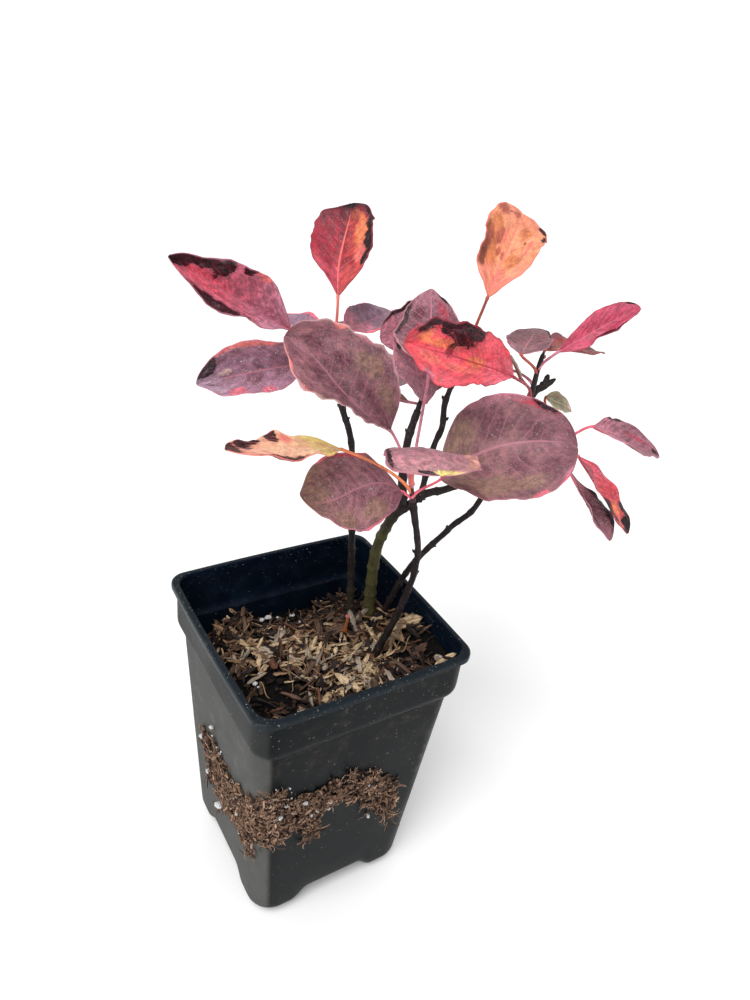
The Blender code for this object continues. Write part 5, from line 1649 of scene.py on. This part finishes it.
def make_crust():
    """Peat stuck to the pot: a felt of crumbs and curled fibres, with perlite in it."""
    rng = random.Random(11)
    peat, felt = Build(), Build()

    def thickness(girth, height):
        lumps = 0.9 + 0.8 * noise.noise(Vector((girth * 0.18, height * 0.18, 1)))
        return lumps * min(1.0, max(crust_share(girth, height), 0.0) / 3)

    made = 0
    while made < 1700:
        girth, height = rng.uniform(-58, 59), rng.uniform(32, 88)
        depth = crust_share(girth, height)
        if depth < 0 or (girth < -40 and rng.random() < 0.62):
            continue
        made += 1
        radius = rng.triangular(0.30, 1.60, 0.60) * (0.6 + 0.4 * min(1.0, depth / 3))
        off = rng.uniform(0.1, 0.7) + 0.5 * thickness(girth, height)
        spot, out = on_wall(girth / 1000, height / 1000, off / 1000)
        vertices, faces = lump_skin((0, 0, 0), radius / 1000, rng)
        squeeze = [spot + v - 0.45 * v.dot(out) * out for v in vertices]
        peat.grow(squeeze, faces, rng.choice((0, 1, 1, 1, 3)))
    made = 0
    while made < 620:
        girth, height = rng.uniform(-58, 59), rng.uniform(32, 88)
        depth = crust_share(girth, height)
        if depth < 0.2 or (girth < -40 and rng.random() < 0.70):
            continue
        made += 1
        span = rng.triangular(1.0, 4.2, 1.8) / 1000
        spot, out = on_wall(girth / 1000, height / 1000, (0.9 + thickness(girth, height)) / 1000)
        flake = Chip((0, 0, 0), rng.uniform(0, 360), rng.gauss(0, 25), rng.gauss(0, 50), span,
                     span * rng.uniform(0.15, 0.45), None)
        vertices, faces, _ = chip_skin(flake, rng)
        lay = out.to_track_quat("Z", "Y")
        peat.grow([spot + lay @ v for v in vertices], faces, rng.choice((0, 0, 2, 3, 3)))
    made = 0
    while made < 1500:
        girth, height = rng.uniform(-58, 59), rng.uniform(32, 90)
        depth = crust_share(girth, height)
        if depth < -0.4 or (girth < -40 and rng.random() < 0.65):
            continue
        made += 1
        add_fibre(felt, rng, girth, height, thickness(girth, height), rng.uniform(0, 360),
                  rng.triangular(1.0, 4.8, 1.8), rng.choice((1.0, 1.0, 1.5, 2.4)))
    for girth, root, end in CRUST_TUFTS:
        for _ in range(24):
            way = 90 if end > root else 270
            add_fibre(felt, rng, girth + rng.uniform(-1.3, 1.3), root + rng.uniform(-1, 1), 0.5,
                      way + rng.gauss(0, 20), abs(end - root) * rng.uniform(0.4, 1.1),
                      rng.choice((1.0, 1.4, 2.0)))
    for girth, height, size in CRUST_PERLITE:
        for _ in range(5):
            add_fibre(felt, rng, girth + rng.uniform(-1.5, 1.5), height + rng.uniform(-1.5, 1.5), 0.4,
                      rng.uniform(0, 360), rng.uniform(2, 4), 1.0)
    tones = [grain_shader("peat_brown", (0.220, 0.135, 0.092), (0.070, 0.042, 0.030)),
             grain_shader("peat_deep", (0.060, 0.036, 0.027), (0.014, 0.010, 0.009)),
             grain_shader("peat_light", (0.460, 0.310, 0.220), (0.180, 0.108, 0.074)),
             grain_shader("peat_flake", (0.260, 0.150, 0.095), (0.080, 0.044, 0.030))]
    peat.make("peat_crust", tones, "soil")
    felt.make("peat_fibres", tones, "soil")
    grains = Build()
    for girth, height, size in CRUST_PERLITE:
        spot, _ = on_wall(girth / 1000, height / 1000, 0.0012)
        grains.grow(*lump_skin(spot, 0.95 * size / 1000, rng, 1.0, 3))
    for _ in range(70):
        girth, height = rng.uniform(-56, 57), rng.uniform(36, 92)
        if crust_share(girth, height) > -6:
            spot, _ = on_wall(girth / 1000, height / 1000, rng.uniform(0.0004, 0.0013))
            grains.grow(*lump_skin(spot, rng.uniform(0.0002, 0.0005), rng, 1.0, 1))
    grains.make("perlite_crust", [bpy.data.materials["perlite_white"]], "soil")


def add_fibre(build, rng, girth, height, lift, way, span, stout):
    """A curled fibre that starts on the crust and runs over it at this angle from the level."""
    steps = 5
    turn = rng.gauss(0, 38)
    rise = rng.uniform(-0.25, 0.45)
    off = 0.25 + lift + rng.uniform(0, 0.5)
    points = []
    for _ in range(steps + 1):
        spot, out = on_wall(girth / 1000, height / 1000, max(off, 0.2) / 1000)
        points.append(spot)
        girth += span / steps * math.cos(math.radians(way))
        height += span / steps * math.sin(math.radians(way))
        way += turn
        off += rise * span / steps
    radius = stout * rng.triangular(0.06, 0.22, 0.11) / 1000
    slot = rng.choice((0, 0, 1, 2, 2)) if stout < 2 else rng.choice((0, 1, 3))
    radii = [0.8 * radius, radius, radius, 0.95 * radius, 0.8 * radius, 0.4 * radius]
    build.grow(*tube_geometry(points, radii, 5), slot)


# Stage


def make_stage():
    bpy.ops.mesh.primitive_plane_add(size=40, location=(0, 0, 0))
    floor = bpy.context.object
    floor.name = "floor"
    floor.data.materials.append(Shader("floor", 0.9, 0.1).finish((0.93, 0.93, 0.93)))
    world = bpy.data.worlds.new("studio")
    bpy.context.scene.world = world
    world.use_nodes = True
    tree = world.node_tree
    sky = tree.nodes["Background"]
    sky.inputs["Color"].default_value = (1.0, 1.0, 1.0, 1)
    # The studio's walls are brighter than its ceiling
    ways = tree.nodes.new("ShaderNodeTexCoord")
    parts = tree.nodes.new("ShaderNodeSeparateXYZ")
    tree.links.new(ways.outputs["Generated"], parts.inputs[0])
    climb = tree.nodes.new("ShaderNodeMapRange")
    climb.inputs["From Min"].default_value = 0.25
    climb.inputs["From Max"].default_value = 0.60
    climb.inputs["To Min"].default_value = 1.05
    climb.inputs["To Max"].default_value = 0.62
    tree.links.new(parts.outputs[2], climb.inputs["Value"])
    tree.links.new(climb.outputs["Result"], sky.inputs["Strength"])
    sun = bpy.data.lights.new("soft_sun", "SUN")
    sun.energy = 2.3
    sun.angle = math.radians(35)
    lamp = bpy.data.objects.new("soft_sun", sun)
    bpy.context.scene.collection.objects.link(lamp)
    lamp.rotation_euler = (Vector((0.50, 0.30, -1.0))).to_track_quat("-Z", "Y").to_euler()


def make_camera():
    """The photograph was taken from above the pot's near corner, with a slight roll."""
    lens = bpy.data.cameras.new("camera")
    lens.lens = 28.19
    lens.sensor_width = 36.0
    lens.sensor_fit = "AUTO"
    lens.clip_start = 0.01
    camera = bpy.data.objects.new("camera", lens)
    bpy.context.scene.collection.objects.link(camera)
    right = Vector((0.8504, -0.5128, 0.1180))
    up = Vector((0.1780, 0.4913, 0.8526))
    back = Vector((-0.4952, -0.7040, 0.5091))
    matrix = Matrix((right, up, back)).transposed().to_4x4()
    matrix.translation = Vector((-0.1229, -0.2024, 0.3206))
    camera.matrix_world = matrix
    bpy.context.scene.camera = camera
    bpy.context.scene.view_settings.view_transform = "Standard"


make_camera()
make_stage()
make_pot()
make_mix()
make_mulch()
make_shoot()
make_crust()
make_limbs()
LIMBS = {**STEMS, **BOUGHS}
for order, (mass, (limb_name, twig_runs, mass_leaves)) in enumerate(FOLIAGE.items()):
    joined_foliage(mass, LIMBS[limb_name], twig_runs, mass_leaves, 20 * order)
